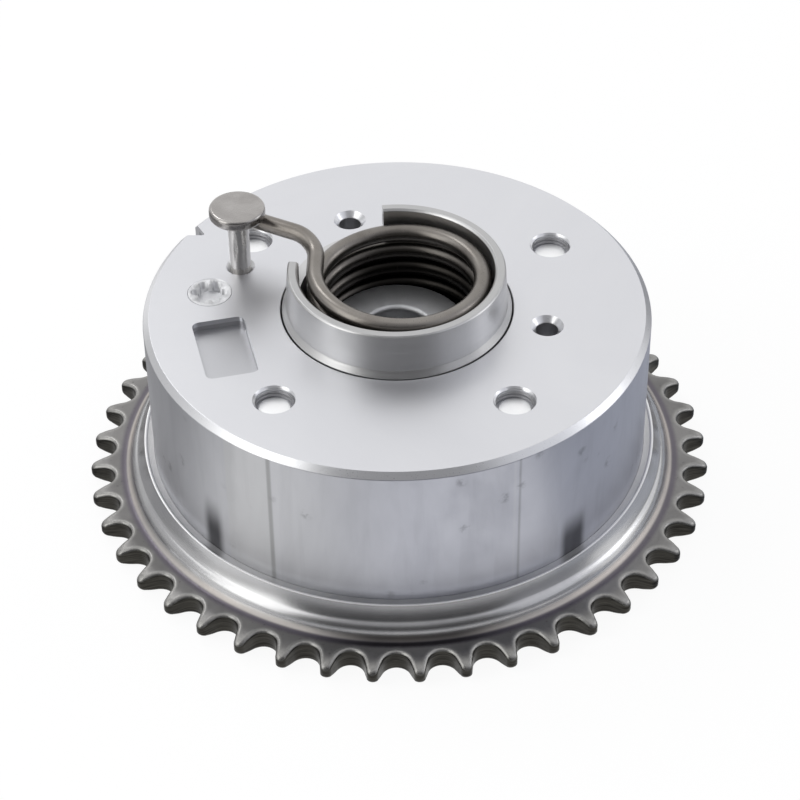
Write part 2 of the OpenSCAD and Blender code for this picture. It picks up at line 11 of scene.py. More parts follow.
import bmesh
import bpy
import numpy as np
from mathutils import Matrix, Vector


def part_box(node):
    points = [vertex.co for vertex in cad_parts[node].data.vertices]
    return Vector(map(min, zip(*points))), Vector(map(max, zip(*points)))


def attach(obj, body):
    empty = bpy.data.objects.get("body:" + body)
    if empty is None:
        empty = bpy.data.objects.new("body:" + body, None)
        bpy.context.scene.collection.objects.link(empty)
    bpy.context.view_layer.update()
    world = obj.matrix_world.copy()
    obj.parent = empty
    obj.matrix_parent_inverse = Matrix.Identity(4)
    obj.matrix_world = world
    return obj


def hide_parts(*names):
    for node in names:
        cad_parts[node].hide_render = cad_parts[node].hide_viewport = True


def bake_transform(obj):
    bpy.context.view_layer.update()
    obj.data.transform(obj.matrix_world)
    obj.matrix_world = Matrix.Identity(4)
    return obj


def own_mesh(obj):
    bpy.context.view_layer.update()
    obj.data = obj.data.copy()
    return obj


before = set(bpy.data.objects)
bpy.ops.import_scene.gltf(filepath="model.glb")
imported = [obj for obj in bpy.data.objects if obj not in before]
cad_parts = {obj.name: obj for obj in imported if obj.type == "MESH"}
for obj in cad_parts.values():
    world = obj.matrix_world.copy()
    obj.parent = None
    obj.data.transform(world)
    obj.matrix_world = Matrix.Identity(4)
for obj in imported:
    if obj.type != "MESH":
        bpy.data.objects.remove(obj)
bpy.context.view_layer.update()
scene = bpy.context.scene
scene.view_settings.view_transform = "Standard"
MM = 0.001

# %% [markdown]
# The camera comes first, because every other choice is judged through it. The photograph was taken from the
# front, about 40 degrees above the part, with a long lens. A camera is set by where it stands and by its
# two image axes, so its matrix is written directly instead of being aimed at a target.

# %% Camera
CAMERA_AT = Vector((0.32, -351.27, 315.47)) * MM
CAMERA_RISE = math.radians(40.479)
CAMERA_ROLL = math.radians(-0.754)
LENS_MM = 111.95
SENSOR_MM = 36.0
back = Vector((0, -math.cos(CAMERA_RISE), math.sin(CAMERA_RISE)))
level = Vector((1, 0, 0))
lean = back.cross(level)
right = level * math.cos(CAMERA_ROLL) + lean * math.sin(CAMERA_ROLL)
up = lean * math.cos(CAMERA_ROLL) - level * math.sin(CAMERA_ROLL)
camera = bpy.data.objects.new("camera", bpy.data.cameras.new("camera"))
camera.data.lens = LENS_MM
camera.data.sensor_width = SENSOR_MM
camera.matrix_world = Matrix.Translation(CAMERA_AT) @ Matrix((right, up, back)).transposed().to_4x4()
scene.collection.objects.link(camera)
scene.camera = camera
print("camera at", [round(x, 3) for x in camera.location])

# %% [markdown]
# Metal has no colour of its own to speak of: it shows the room. The room here is a white one with a white
# floor. Both are white to the camera and to reflections, and dimmer as a light source, so that the lamps
# still shape the part.

# %% Room
WORLD_LIGHT = 0.55
FLOOR_GLOW = 0.86


def add_node(tree, kind, **settings):
    """A new node, with its properties and its unlinked inputs set by name or index."""
    node = tree.nodes.new(kind)
    for key, value in settings.items():
        if key == "inputs":
            for socket, number in value.items():
                node.inputs[socket].default_value = number
        else:
            setattr(node, key, value)
    return node


def seen_mask(tree):
    """1 for rays of the camera, of reflections and of glass, 0 for light that is spread by matt surfaces."""
    path = add_node(tree, "ShaderNodeLightPath")
    first = add_node(tree, "ShaderNodeMath", operation="ADD")
    second = add_node(tree, "ShaderNodeMath", operation="ADD", use_clamp=True)
    tree.links.new(path.outputs["Is Camera Ray"], first.inputs[0])
    tree.links.new(path.outputs["Is Glossy Ray"], first.inputs[1])
    tree.links.new(first.outputs[0], second.inputs[0])
    tree.links.new(path.outputs["Is Transmission Ray"], second.inputs[1])
    return second.outputs[0]


world = bpy.data.worlds.new("white_room")
scene.world = world
world.use_nodes = True
tree = world.node_tree
strength = add_node(tree, "ShaderNodeMapRange", inputs={3: WORLD_LIGHT, 4: 1.0})
tree.links.new(seen_mask(tree), strength.inputs[0])
background = tree.nodes["Background"]
background.inputs["Color"].default_value = (1, 1, 1, 1)
tree.links.new(strength.outputs[0], background.inputs["Strength"])


def flat_panel(name, centre, across, along):
    """A rectangle from its centre and its two half edges."""
    c, a, b = (np.array(v, float) * MM for v in (centre, across, along))
    mesh = bpy.data.meshes.new(name)
    mesh.from_pydata([c - a - b, c + a - b, c + a + b, c - a + b], [], [(0, 1, 2, 3)])
    panel = bpy.data.objects.new(name, mesh)
    scene.collection.objects.link(panel)
    return panel


floor = flat_panel("floor", (0, 0, 0), (3000, 0, 0), (0, 3000, 0))
paint = bpy.data.materials.new("floor_paint")
paint.use_nodes = True
tree = paint.node_tree
tree.nodes.remove(tree.nodes["Principled BSDF"])
matt = add_node(tree, "ShaderNodeBsdfDiffuse", inputs={"Color": (0.86, 0.86, 0.87, 1)})
glow = add_node(tree, "ShaderNodeEmission", inputs={"Color": (1, 1, 1, 1), "Strength": 1.06})
part = add_node(tree, "ShaderNodeMath", operation="MULTIPLY", inputs={1: FLOOR_GLOW})
lit = add_node(tree, "ShaderNodeMixShader")
below = add_node(tree, "ShaderNodeMixShader")
facing = add_node(tree, "ShaderNodeNewGeometry")
clear = add_node(tree, "ShaderNodeBsdfTransparent")
tree.links.new(seen_mask(tree), part.inputs[0])
tree.links.new(part.outputs[0], lit.inputs[0])
tree.links.new(matt.outputs[0], lit.inputs[1])
tree.links.new(glow.outputs[0], lit.inputs[2])
tree.links.new(facing.outputs["Backfacing"], below.inputs[0])
tree.links.new(lit.outputs[0], below.inputs[1])
tree.links.new(clear.outputs[0], below.inputs[2])
tree.links.new(below.outputs[0], tree.nodes["Material Output"].inputs["Surface"])
floor.data.materials.append(paint)
print("world light", WORLD_LIGHT, "floor glow", FLOOR_GLOW)

# %% [markdown]
# In a room that is white all round, polished metal would look like chalk. A photographer hangs cloths for
# it to show, and so does this script. The one in front is dark and graded from the floor upwards, and it
# puts the dark bands into the chamfer, the lip and the wire. The one on the right is a cool grey, the one
# on the left a plain grey, and a bright one between left and front gives the long highlights on the wall
# and the bead. Their feet are darker, and more cloths lie on the floor, because the lip and the teeth look
# down at it. Only reflections see them.

# %% Cloths
ROOM_R, LAID_Z = 900, 0.05


def sheet_of_points(name, points, colour):
    """A grid of points in mm, skinned as a cloth of one colour that only reflections see."""
    mesh = bpy.data.meshes.new(name)
    m, n = points.shape[:2]
    cell = np.arange(m * n).reshape(m, n)
    corners = [cell[:-1, :-1], cell[1:, :-1], cell[1:, 1:], cell[:-1, 1:]]
    mesh.from_pydata((points.reshape(-1, 3) * MM).tolist(), [], np.stack(corners, 2).reshape(-1, 4).tolist())
    hung = bpy.data.objects.new(name, mesh)
    scene.collection.objects.link(hung)
    hung.visible_camera = hung.visible_diffuse = hung.visible_shadow = False
    weave = bpy.data.materials.new(name)
    weave.use_nodes = True
    shade = add_node(weave.node_tree, "ShaderNodeEmission", inputs={"Color": (*colour, 1)})
    weave.node_tree.links.new(shade.outputs[0], weave.node_tree.nodes["Material Output"].inputs["Surface"])
    mesh.materials.append(weave)
    return hung


def hung_cloth(name, turns, rises, colour):
    """A cloth on a dome round the part, over a range of turns and of rises above the floor: R times
    (cos rise cos turn, cos rise sin turn, sin rise)."""
    turn, rise = (np.radians(np.linspace(*span, steps)) for span, steps in ((turns, 13), (rises, 9)))
    turn, rise = np.meshgrid(turn, rise, indexing="ij")
    points = np.stack([np.cos(rise) * np.cos(turn), np.cos(rise) * np.sin(turn), np.sin(rise)], 2)
    return sheet_of_points(name, points * ROOM_R, colour)


def laid_cloth(name, turns, reach, colour):
    """A cloth on the floor, over a range of turns and of distances r from the axis."""
    turn, r = np.meshgrid(np.radians(np.linspace(*turns, 13)), np.linspace(*reach, 5), indexing="ij")
    points = np.stack([r * np.cos(turn), r * np.sin(turn), np.full(r.shape, LAID_Z)], 2)
    return sheet_of_points(name, points, colour)


front_steps = (0, 7, 14, 30, 42, 62, 86)
front_greys = (0.40, 0.16, 0.05, 0.14, 0.36, 0.45)
for rises, grey in zip(zip(front_steps, front_steps[1:]), front_greys):
    hung_cloth(f"cloth_front_{rises[0]}", (-134, -48), rises, (grey, grey, grey * 1.03))
hung_cloth("cloth_right", (-48, 40), (18, 60), (0.76, 0.77, 0.81))
hung_cloth("cloth_right_foot", (-48, -14), (0, 18), (0.25, 0.255, 0.275))
hung_cloth("cloth_left", (140, 165), (14, 58), (0.62, 0.62, 0.63))
hung_cloth("cloth_left_mid", (165, 195), (14, 31), (0.62, 0.62, 0.63))
hung_cloth("cloth_left_high", (165, 195), (31, 56), (1.6, 1.6, 1.58))
hung_cloth("cloth_left_foot", (140, 196), (0, 14), (0.64, 0.64, 0.64))
hung_cloth("cloth_bright", (195, 226), (12, 56), (2.2, 2.2, 2.17))
hung_cloth("cloth_bright_foot", (196, 226), (0, 12), (0.75, 0.75, 0.74))
laid_cloth("cloth_low_left", (100, 200), (59, 150), (0.42, 0.42, 0.43))
laid_cloth("cloth_low_right", (-42, 70), (59, 150), (0.46, 0.48, 0.53))
laid_cloth("cloth_far_front", (-134, -48), (140, 900), (0.40, 0.40, 0.41))
laid_cloth("cloth_far_right", (-48, -14), (150, 900), (0.25, 0.255, 0.275))
laid_cloth("cloth_far_left", (140, 196), (150, 900), (0.27, 0.27, 0.27))
laid_cloth("cloth_far_back", (4, 60), (150, 900), (0.27, 0.275, 0.29))
hung_cloth("cloth_back_foot", (4, 60), (0, 7), (0.30, 0.305, 0.32))


# %% Lamps
def soft_lamp(name, at, size, power):
    """A square lamp that looks at the middle of the part."""
    lamp = bpy.data.objects.new(name, bpy.data.lights.new(name, "AREA"))
    lamp.data.energy = power
    lamp.data.size = size * MM
    lamp.location = Vector(at) * MM
    lamp.visible_camera = False
    aim = Vector((0, 0, 0.025)) - lamp.location
    lamp.rotation_mode = "QUATERNION"
    lamp.rotation_quaternion = aim.to_track_quat("-Z", "Y")
    scene.collection.objects.link(lamp)
    return lamp


soft_lamp("lamp_left", (-600, -110, 430), 420, 1.1).visible_glossy = False
soft_lamp("lamp_right", (600, 50, 340), 220, 0.25)
soft_lamp("lamp_back", (-420, 480, 720), 260, 0.85)

# %% [markdown]
# All turned pieces start as a profile: a closed line of radius and height. Real edges are never sharp, so
# each corner of a profile is rounded, and that thin round is what catches the light. Chain teeth, wire and
# threads have their own formulas, but all of them end as a grid of points that is skinned with four-sided
# faces.

# %% Surfaces from grids
ROUND_STEPS = 5


def rounded(points, radius, steps=ROUND_STEPS):
    """Each corner of a closed line becomes a parabola that is tangent to both sides: the point at t is
    (1-t)^2 S + 2t(1-t) P + t^2 E, with S and E on the sides, a reach before and after the corner P."""
    p = np.asarray(points, float)
    r = np.broadcast_to(np.asarray(radius, float), len(p))[:, None]
    before, after = np.roll(p, 1, 0) - p, np.roll(p, -1, 0) - p
    len_b, len_a = (np.linalg.norm(v, axis=1, keepdims=True) for v in (before, after))
    cosine = np.sum(before * after, 1, keepdims=True) / (len_b * len_a)
    half = np.arccos(np.clip(cosine, -1, 1)) / 2
    reach = np.minimum(r / np.tan(half), 0.45 * np.minimum(len_b, len_a))
    start, end = p + before / len_b * reach, p + after / len_a * reach
    t = np.linspace(0, 1, steps)[None, :, None]
    bow = (1 - t) ** 2 * start[:, None] + 2 * t * (1 - t) * p[:, None] + t ** 2 * end[:, None]
    return bow.reshape(-1, p.shape[1])


def grid_faces(rows, columns, wrap_rows, wrap_columns):
    """Four corners for each cell of a grid of points, wrapped round where the surface closes on itself."""
    i = np.arange(rows if wrap_rows else rows - 1)[:, None]
    j = np.arange(columns if wrap_columns else columns - 1)[None, :]
    i, j = (k.ravel() for k in np.broadcast_arrays(i, j))
    i2, j2 = (i + 1) % rows, (j + 1) % columns
    return np.stack([i * columns + j, i2 * columns + j, i2 * columns + j2, i * columns + j2], 1).tolist()


def mesh_from(name, points, faces):
    """A mesh in metres from points in millimetres, with doubled points merged and faces turned outwards."""
    mesh = bpy.data.meshes.new(name)
    mesh.from_pydata((np.asarray(points, float).reshape(-1, 3) * MM).tolist(), [], list(faces))
    work = bmesh.new()
    work.from_mesh(mesh)
    bmesh.ops.remove_doubles(work, verts=work.verts, dist=1e-7)
    bmesh.ops.triangulate(work, faces=[f for f in work.faces if len(f.verts) > 4])
    bmesh.ops.recalc_face_normals(work, faces=work.faces)
    work.to_mesh(mesh)
    work.free()
    return mesh


def add_object(name, mesh):
    """A new object at the origin, whose place is in its mesh."""
    piece = bpy.data.objects.new(name, mesh)
    scene.collection.objects.link(piece)
    return piece


def carried_round(profile, angles, centre=(0, 0)):
    """Points of a profile at each angle round an upright axis: (x + r cos a, y + r sin a, z)."""
    p = np.asarray(profile, float)
    a = angles[:, None]
    x, y = centre[0] + p[:, 0] * np.cos(a), centre[1] + p[:, 0] * np.sin(a)
    return np.stack([x, y, np.broadcast_to(p[:, 1], x.shape)], 2)


def turned(profile, columns, centre=(0, 0)):
    """A profile carried once round in even steps."""
    return carried_round(profile, np.linspace(0, 2 * np.pi, columns, endpoint=False), centre)


def turned_mesh(name, profile, columns, centre=(0, 0)):
    """Mesh of a turned profile."""
    points = turned(profile, columns, centre)
    return mesh_from(name, points, grid_faces(*points.shape[:2], True, True))


def drawn_up(name, outline, z0, z1):
    """A closed plan outline drawn up from z0 to z1, with flat ends."""
    o = np.asarray(outline, float)
    n = len(o)
    points = np.concatenate([np.c_[o, np.full(n, z)] for z in (z0, z1)])
    ends = [list(range(n)), list(range(n, 2 * n))]
    return mesh_from(name, points, grid_faces(2, n, False, True) + ends)


def polar(r, degrees):
    """Plan points at a radius and an angle, (r cos a, r sin a). Either may be an array."""
    a = np.radians(degrees)
    return np.stack([r * np.cos(a), r * np.sin(a)], -1)


SHARP = math.radians(32)


def cut(name, blank, cutters):
    """A blank with cutters taken away from it, shaded smooth up to its sharp edges."""
    work = add_object("blank", blank)
    tools = [add_object("cutter", c) for c in cutters]
    for tool in tools:
        step = work.modifiers.new("cut", "BOOLEAN")
        step.operation = "DIFFERENCE"
        step.solver = "MANIFOLD"
        step.object = tool
    ready = work.evaluated_get(bpy.context.evaluated_depsgraph_get())
    mesh = bpy.data.meshes.new_from_object(ready)
    for extra in (work, *tools):
        bpy.data.objects.remove(extra)
    mesh.name = name
    return smooth(mesh)


def smooth(mesh):
    """Smooth shading inside faces that meet at less than the sharp angle."""
    mesh.polygons.foreach_set("use_smooth", np.ones(len(mesh.polygons), bool))
    mesh.set_sharp_from_angle(angle=SHARP)
    return mesh


def finish_piece(name, mesh, body, finish, *nodes):
    """Shows a mesh in place of CAD nodes, on their body, with shading that follows its large faces."""
    piece = add_object(name, mesh)
    mesh.materials.clear()
    mesh.materials.append(finish.material)
    even = piece.modifiers.new("even", "WEIGHTED_NORMAL")
    even.keep_sharp = True
    if body:
        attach(piece, body)
    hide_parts(*nodes)
    print(name, len(mesh.vertices), "points", len(mesh.polygons), "faces")
    return piece


# %% [markdown]
# The finishes share a few effects, so each effect is a node group that is built once: rings left by a
# lathe, clouds of oil, the grain of sintered steel, and brush lines. A group puts out values from 0 to 1,
# and each material decides what they do. All of them read Object coordinates in metres, so a size in a
# group is a real size.

# %% Node helpers
def number(tree, operation, *terms, clamp=False):
    """Output of a Math node whose inputs are numbers or sockets."""
    node = add_node(tree, "ShaderNodeMath", operation=operation, use_clamp=clamp)
    for i, term in enumerate(terms):
        if isinstance(term, (int, float)):
            node.inputs[i].default_value = term
        else:
            tree.links.new(term, node.inputs[i])
    return node.outputs[0]


def times(tree, product, *others):
    """Product of sockets and numbers."""
    for term in others:
        product = number(tree, "MULTIPLY", product, term)
    return product


def ramp(tree, value, low, high, first=0.0, last=1.0):
    """A value eased from first to last while it goes from low to high."""
    node = add_node(tree, "ShaderNodeMapRange", interpolation_type="SMOOTHSTEP",
                    inputs={1: low, 2: high, 3: first, 4: last})
    tree.links.new(value, node.inputs[0])
    return node.outputs[0]


def window(tree, value, low, high, soft):
    """1 where a value lies between low and high, with soft ends."""
    inside = ramp(tree, value, low - soft, low + soft)
    return times(tree, inside, ramp(tree, value, high - soft, high + soft, 1.0, 0.0))


def tint(tree, factor, first, second, mode="MIX"):
    """Two colours, as sockets or written values, mixed by a factor."""
    node = add_node(tree, "ShaderNodeMix", data_type="RGBA", blend_type=mode)
    for socket, term in ((0, factor), (6, first), (7, second)):
        if isinstance(term, (int, float)):
            node.inputs[socket].default_value = term
        elif isinstance(term, tuple):
            node.inputs[socket].default_value = (*term, 1)
        else:
            tree.links.new(term, node.inputs[socket])
    return node.outputs[2]


def new_group(name, inputs, outputs):
    """An empty node group with its sockets, and its input and output nodes."""
    group = bpy.data.node_groups.new(name, "ShaderNodeTree")
    for label, kind, value in inputs:
        socket = group.interface.new_socket(label, in_out="INPUT", socket_type=kind)
        if value is not None:
            socket.default_value = value
    for label in outputs:
        group.interface.new_socket(label, in_out="OUTPUT", socket_type="NodeSocketFloat")
    return group, add_node(group, "NodeGroupInput"), add_node(group, "NodeGroupOutput")


VECTOR, FLOAT = "NodeSocketVector", "NodeSocketFloat"

# %% Lathe rings
rings, given, made = new_group("lathe_rings", [("Vector", VECTOR, None), ("Pitch", FLOAT, 0.0003),
                                               ("Run", FLOAT, 0.7)], ["Height", "Sheen"])
axes = add_node(rings, "ShaderNodeSeparateXYZ")
rings.links.new(given.outputs["Vector"], axes.inputs[0])
square = [times(rings, axes.outputs[i], axes.outputs[i]) for i in (0, 1)]
radius = number(rings, "SQRT", number(rings, "ADD", *square))
way = [times(rings, number(rings, "DIVIDE", axes.outputs[i], number(rings, "ADD", radius, 1e-6)),
              given.outputs["Run"]) for i in (0, 1)]
place = add_node(rings, "ShaderNodeCombineXYZ")
rings.links.new(number(rings, "DIVIDE", radius, given.outputs["Pitch"]), place.inputs[0])
rings.links.new(way[0], place.inputs[1])
rings.links.new(way[1], place.inputs[2])
for label, detail, scale in (("Height", 3.0, 1.0), ("Sheen", 1.0, 0.13)):
    marks = add_node(rings, "ShaderNodeTexNoise", noise_dimensions="4D",
                     inputs={"Scale": scale, "Detail": detail, "Roughness": 0.6})
    rings.links.new(place.outputs[0], marks.inputs["Vector"])
    rings.links.new(number(rings, "DIVIDE", axes.outputs[2], given.outputs["Pitch"]), marks.inputs["W"])
    rings.links.new(marks.outputs[0], made.inputs[label])

# %% Oil clouds
clouds, given, made = new_group("oil_clouds", [("Vector", VECTOR, None), ("Size", FLOAT, 0.02),
                                               ("Upright", FLOAT, 1.0)], ["Mask", "Veil"])
shape = add_node(clouds, "ShaderNodeCombineXYZ", inputs={0: 1.0, 1: 1.0})
clouds.links.new(given.outputs["Upright"], shape.inputs[2])
stretched = add_node(clouds, "ShaderNodeVectorMath", operation="MULTIPLY")
clouds.links.new(given.outputs["Vector"], stretched.inputs[0])
clouds.links.new(shape.outputs[0], stretched.inputs[1])
per_metre = number(clouds, "DIVIDE", 1.0, given.outputs["Size"])
for label, share, low, high in (("Mask", 1.0, 0.46, 0.68), ("Veil", 0.45, 0.30, 0.70)):
    noise = add_node(clouds, "ShaderNodeTexNoise",
                     inputs={"Detail": 5.0, "Roughness": 0.62, "Distortion": 0.6})
    clouds.links.new(stretched.outputs[0], noise.inputs["Vector"])
    clouds.links.new(times(clouds, per_metre, share), noise.inputs["Scale"])
    clouds.links.new(ramp(clouds, noise.outputs[0], low, high), made.inputs[label])

# %% Sintered grain
grain, given, made = new_group("sintered_grain", [("Vector", VECTOR, None), ("Size", FLOAT, 0.0004)],
                               ["Height", "Pits"])
per_metre = number(grain, "DIVIDE", 1.0, given.outputs["Size"])
noise = add_node(grain, "ShaderNodeTexNoise", inputs={"Detail": 4.0, "Roughness": 0.7})
cells = add_node(grain, "ShaderNodeTexVoronoi", inputs={"Randomness": 1.0})
for node in (noise, cells):
    grain.links.new(given.outputs["Vector"], node.inputs["Vector"])
grain.links.new(per_metre, noise.inputs["Scale"])
grain.links.new(times(grain, per_metre, 0.35), cells.inputs["Scale"])
grain.links.new(noise.outputs[0], made.inputs["Height"])
pits = times(grain, ramp(grain, cells.outputs["Distance"], 0.08, 0.24, 1.0, 0.0),
              ramp(grain, noise.outputs[0], 0.45, 0.62))
grain.links.new(pits, made.inputs["Pits"])

# %% Brush lines
brush, given, made = new_group("brush_lines", [("Vector", VECTOR, None), ("Size", FLOAT, 0.0003),
                                               ("Long", FLOAT, 0.04)], ["Height"])
axes = add_node(brush, "ShaderNodeSeparateXYZ")
brush.links.new(given.outputs["Vector"], axes.inputs[0])
place = add_node(brush, "ShaderNodeCombineXYZ")
brush.links.new(times(brush, axes.outputs[0], given.outputs["Long"]), place.inputs[0])
brush.links.new(axes.outputs[1], place.inputs[1])
brush.links.new(times(brush, axes.outputs[2], given.outputs["Long"]), place.inputs[2])
noise = add_node(brush, "ShaderNodeTexNoise", inputs={"Detail": 4.0, "Roughness": 0.65})
brush.links.new(place.outputs[0], noise.inputs["Vector"])
brush.links.new(number(brush, "DIVIDE", 1.0, given.outputs["Size"]), noise.inputs["Scale"])
brush.links.new(noise.outputs[0], made.inputs["Height"])
print("node groups", [g.name for g in bpy.data.node_groups])


# %% [markdown]
# A material here is a Principled shader with plain metal settings, and a few lines that say where its
# colour and gloss change. The part is round, so most of those places are given by the radius and the height
# of a point.

# %% Material helper
class Finish:
    """A metal finish: its tree, its shader, and sockets for the place of a point in metres and degrees."""

    def __init__(self, name, metallic=1.0):
        self.slot = name
        self.material = bpy.data.materials.new(name)
        self.material.use_nodes = True
        self.tree = self.material.node_tree
        self.shader = self.tree.nodes["Principled BSDF"]
        self.shader.inputs["Metallic"].default_value = metallic
        self.at = add_node(self.tree, "ShaderNodeTexCoord").outputs["Object"]
        axes = add_node(self.tree, "ShaderNodeSeparateXYZ")
        self.tree.links.new(self.at, axes.inputs[0])
        self.x, self.y, self.z = axes.outputs
        flat = number(self.tree, "ADD", times(self.tree, self.x, self.x),
                      times(self.tree, self.y, self.y))
        self.radius = number(self.tree, "SQRT", flat)
        self.turn = number(self.tree, "DEGREES", number(self.tree, "ARCTAN2", self.y, self.x))

    def use(self, group, vector=None, **values):
        """A node group in this material, with its own values."""
        node = add_node(self.tree, "ShaderNodeGroup", node_tree=group)
        self.tree.links.new(self.at if vector is None else vector, node.inputs["Vector"])
        for label, value in values.items():
            node.inputs[label].default_value = value
        return node.outputs

    def turned_axes(self, degrees, centre=(0, 0, 0)):
        """Object coordinates moved to a centre in mm and turned about Z."""
        node = add_node(self.tree, "ShaderNodeMapping", vector_type="TEXTURE")
        node.inputs["Location"].default_value = [c * MM for c in centre]
        node.inputs["Rotation"].default_value = (0, 0, math.radians(degrees))
        self.tree.links.new(self.at, node.inputs["Vector"])
        return node.outputs[0]

    def facing(self, axis):
        """How far a face looks along an axis, from -1 to 1."""
        parts = add_node(self.tree, "ShaderNodeSeparateXYZ")
        self.tree.links.new(add_node(self.tree, "ShaderNodeNewGeometry").outputs["Normal"], parts.inputs[0])
        return parts.outputs[axis]

    def between(self, factor, first, second):
        """A value that goes from one socket's to another's."""
        node = add_node(self.tree, "ShaderNodeMix", data_type="FLOAT")
        for i, socket in ((0, factor), (2, first), (3, second)):
            self.tree.links.new(socket, node.inputs[i])
        return node.outputs[0]

    def colour(self, socket):
        self.tree.links.new(socket, self.shader.inputs["Base Color"])

    def rough(self, socket):
        self.tree.links.new(socket, self.shader.inputs["Roughness"])

    def bump(self, height, depth, strength=1.0):
        """Normal from a height of 0 to 1, which stands for a depth in millimetres."""
        node = add_node(self.tree, "ShaderNodeBump", inputs={"Strength": strength, "Distance": depth * MM})
        self.tree.links.new(height, node.inputs["Height"])
        self.tree.links.new(node.outputs[0], self.shader.inputs["Normal"])


# %% [markdown]
# The housing is one piece of steel with three finishes. Its face is ground to an even pale satin, the
# chamfer round it is bright, and the wall is polished, with oil clouds, faint upright marks and a few dark
# specks. Painted reflections lie on the wall too: two dark patches at its foot, a lighter band and two
# upright lines. One side of the wall is painted a faint cool blue, a painted light. One material with masks
# by radius and height keeps the borders exactly on the edges.

# %% Housing masks
PLATE_T, FACE_UNDER, FACE_Z = 6.9, 31.1, 38.1
BODY_R, CHAMBER_R, FACE_HOLE_R, CHAMFER = 45.7, 40.0, 20.95, 1.1
housing_steel = Finish("housing_steel")
f, t = housing_steel, housing_steel.tree
wall = ramp(t, f.radius, (BODY_R - 0.15) * MM, (BODY_R - 0.02) * MM)
face = ramp(t, f.facing(2), 0.80, 0.93)
below_face = ramp(t, f.z, (FACE_Z - CHAMFER) * MM, (FACE_Z - 0.8) * MM, 1.0, 0.0)
sunk = times(t, below_face, ramp(t, f.radius, 44.0 * MM, 44.3 * MM, 1.0, 0.0))
soft = f.use(clouds, Size=0.035)
oil = f.use(clouds, Size=0.020, Upright=0.5)
marks = f.use(clouds, Size=0.0035, Upright=0.12)
fine = f.use(grain, Size=0.00025)
turning = f.use(rings, Pitch=0.0004, Run=0.5)
print("housing nodes", len(t.nodes))

# %% Housing colours
face_colour = tint(t, soft["Veil"], (0.675, 0.68, 0.71), (0.715, 0.72, 0.745))
face_colour = tint(t, times(t, sunk, 0.75), face_colour, (0.50, 0.505, 0.53))
wall_colour = tint(t, oil["Veil"], (0.47, 0.475, 0.50), (0.60, 0.605, 0.63))
wall_colour = tint(t, times(t, marks["Mask"], 0.14), wall_colour, (0.34, 0.345, 0.365))
# Painted reflections: two dark patches at the wall's foot, fading upwards.
for first, last, soft_end, top, foot in ((-138.2, -133.4, 1.4, 22, 13), (-51.4, -45.0, 1.2, 19.5, 13)):
    painted_dark_reflection = times(t, window(t, f.turn, first, last, soft_end), ramp(t, f.z, foot * MM, top * MM, 0.95, 0.0),
                   ramp(t, oil["Veil"], 0.0, 1.0, 1.0, 0.8))
    wall_colour = tint(t, painted_dark_reflection, wall_colour, (0.028, 0.028, 0.033))
specks = times(t, f.use(grain, Size=0.0022)["Pits"], 0.4)
wall_colour = tint(t, specks, wall_colour, (0.13, 0.13, 0.14))
# Painted reflection: a lighter upright band on the wall.
panel = window(t, f.turn, -130.7, -118.5, 0.25)
wall_colour = tint(t, times(t, panel, 0.30), wall_colour, (0.56, 0.56, 0.55))
# Painted reflections: thin upright lines on the wall.
painted_reflection_lines = ((-118.9, 0.5, 0.5, 0.20), (-63.4, 0.25, 0.5, 0.24), (-64.6, 0.3, 0.4, 0.62))
for turn, half_width, share, grey in painted_reflection_lines:
    line = window(t, f.turn, turn - half_width, turn + half_width, 0.3)
    wall_colour = tint(t, times(t, line, share), wall_colour, (grey, grey, grey))
# Painted light: the right side of the wall is painted a faint cool blue.
cool = window(t, f.turn, -100.0, 10.0, 16.0)
wall_colour = tint(t, cool, wall_colour, (0.945, 0.955, 1.01), "MULTIPLY")
edge_colour = tint(t, sunk, (0.74, 0.745, 0.765), (0.46, 0.46, 0.475))
edge_colour = tint(t, wall, edge_colour, wall_colour)
f.colour(tint(t, face, edge_colour, face_colour))
print("housing nodes", len(t.nodes))

# %% Housing gloss
face_rough = ramp(t, fine["Height"], 0.2, 0.8, 0.34, 0.42)
edge_rough = ramp(t, fine["Height"], 0.2, 0.8, 0.26, 0.34)
wall_rough = ramp(t, oil["Mask"], 0.0, 1.0, 0.44, 0.54)
f.rough(f.between(face, f.between(number(t, "MAXIMUM", wall, sunk), edge_rough, wall_rough), face_rough))
f.bump(tint(t, face, turning["Height"], fine["Height"]), 0.004, 0.5)

# %% [markdown]
# The sprocket is pressed and sintered, then turned: rough and dark at the teeth, bright on the lip. Beside
# the lip the heat of the weld or the quench has left a violet ring. The teeth have light worn edges, which
# the mesh marks with an attribute of its own. Their upright flanks are painted near black, painted shade
# over faint hob lines. At the front the ring and the bead's foot are painted darker: painted shade. The
# lip's narrow ridge is painted lighter: a painted highlight.

# %% Sprocket masks
FLANGE_T, RING_R, LIP_IN, LEDGE_Z, RIDGE_Z = 4.2, 52.6, 45.72, 9.3, 9.6
sprocket_steel = Finish("sprocket_steel")
f, t = sprocket_steel, sprocket_steel.tree
lip = ramp(t, f.z, (FLANGE_T + 0.03) * MM, (FLANGE_T + 0.22) * MM)
ridge = ramp(t, f.z, (RIDGE_Z - 0.18) * MM, (RIDGE_Z - 0.10) * MM)
ledge = ramp(t, f.radius, 46.75 * MM, 46.95 * MM, 1.0, 0.0)
beside = window(t, f.radius, 51.0 * MM, 52.3 * MM, 0.5 * MM)
violet = times(t, beside, ramp(t, f.z, (FLANGE_T - 0.6) * MM, (FLANGE_T - 0.2) * MM))
side = ramp(t, number(t, "ABSOLUTE", f.facing(2)), 0.25, 0.75, 1.0, 0.0)
flank = times(t, side, ramp(t, f.radius, 52.8 * MM, 53.3 * MM))
edge = add_node(t, "ShaderNodeAttribute", attribute_name="edge").outputs["Fac"]
fine = f.use(grain, Size=0.00045)
oil = f.use(clouds, Size=0.012)
turning = f.use(rings, Pitch=0.0005, Run=0.8)
print("sprocket nodes", len(t.nodes))

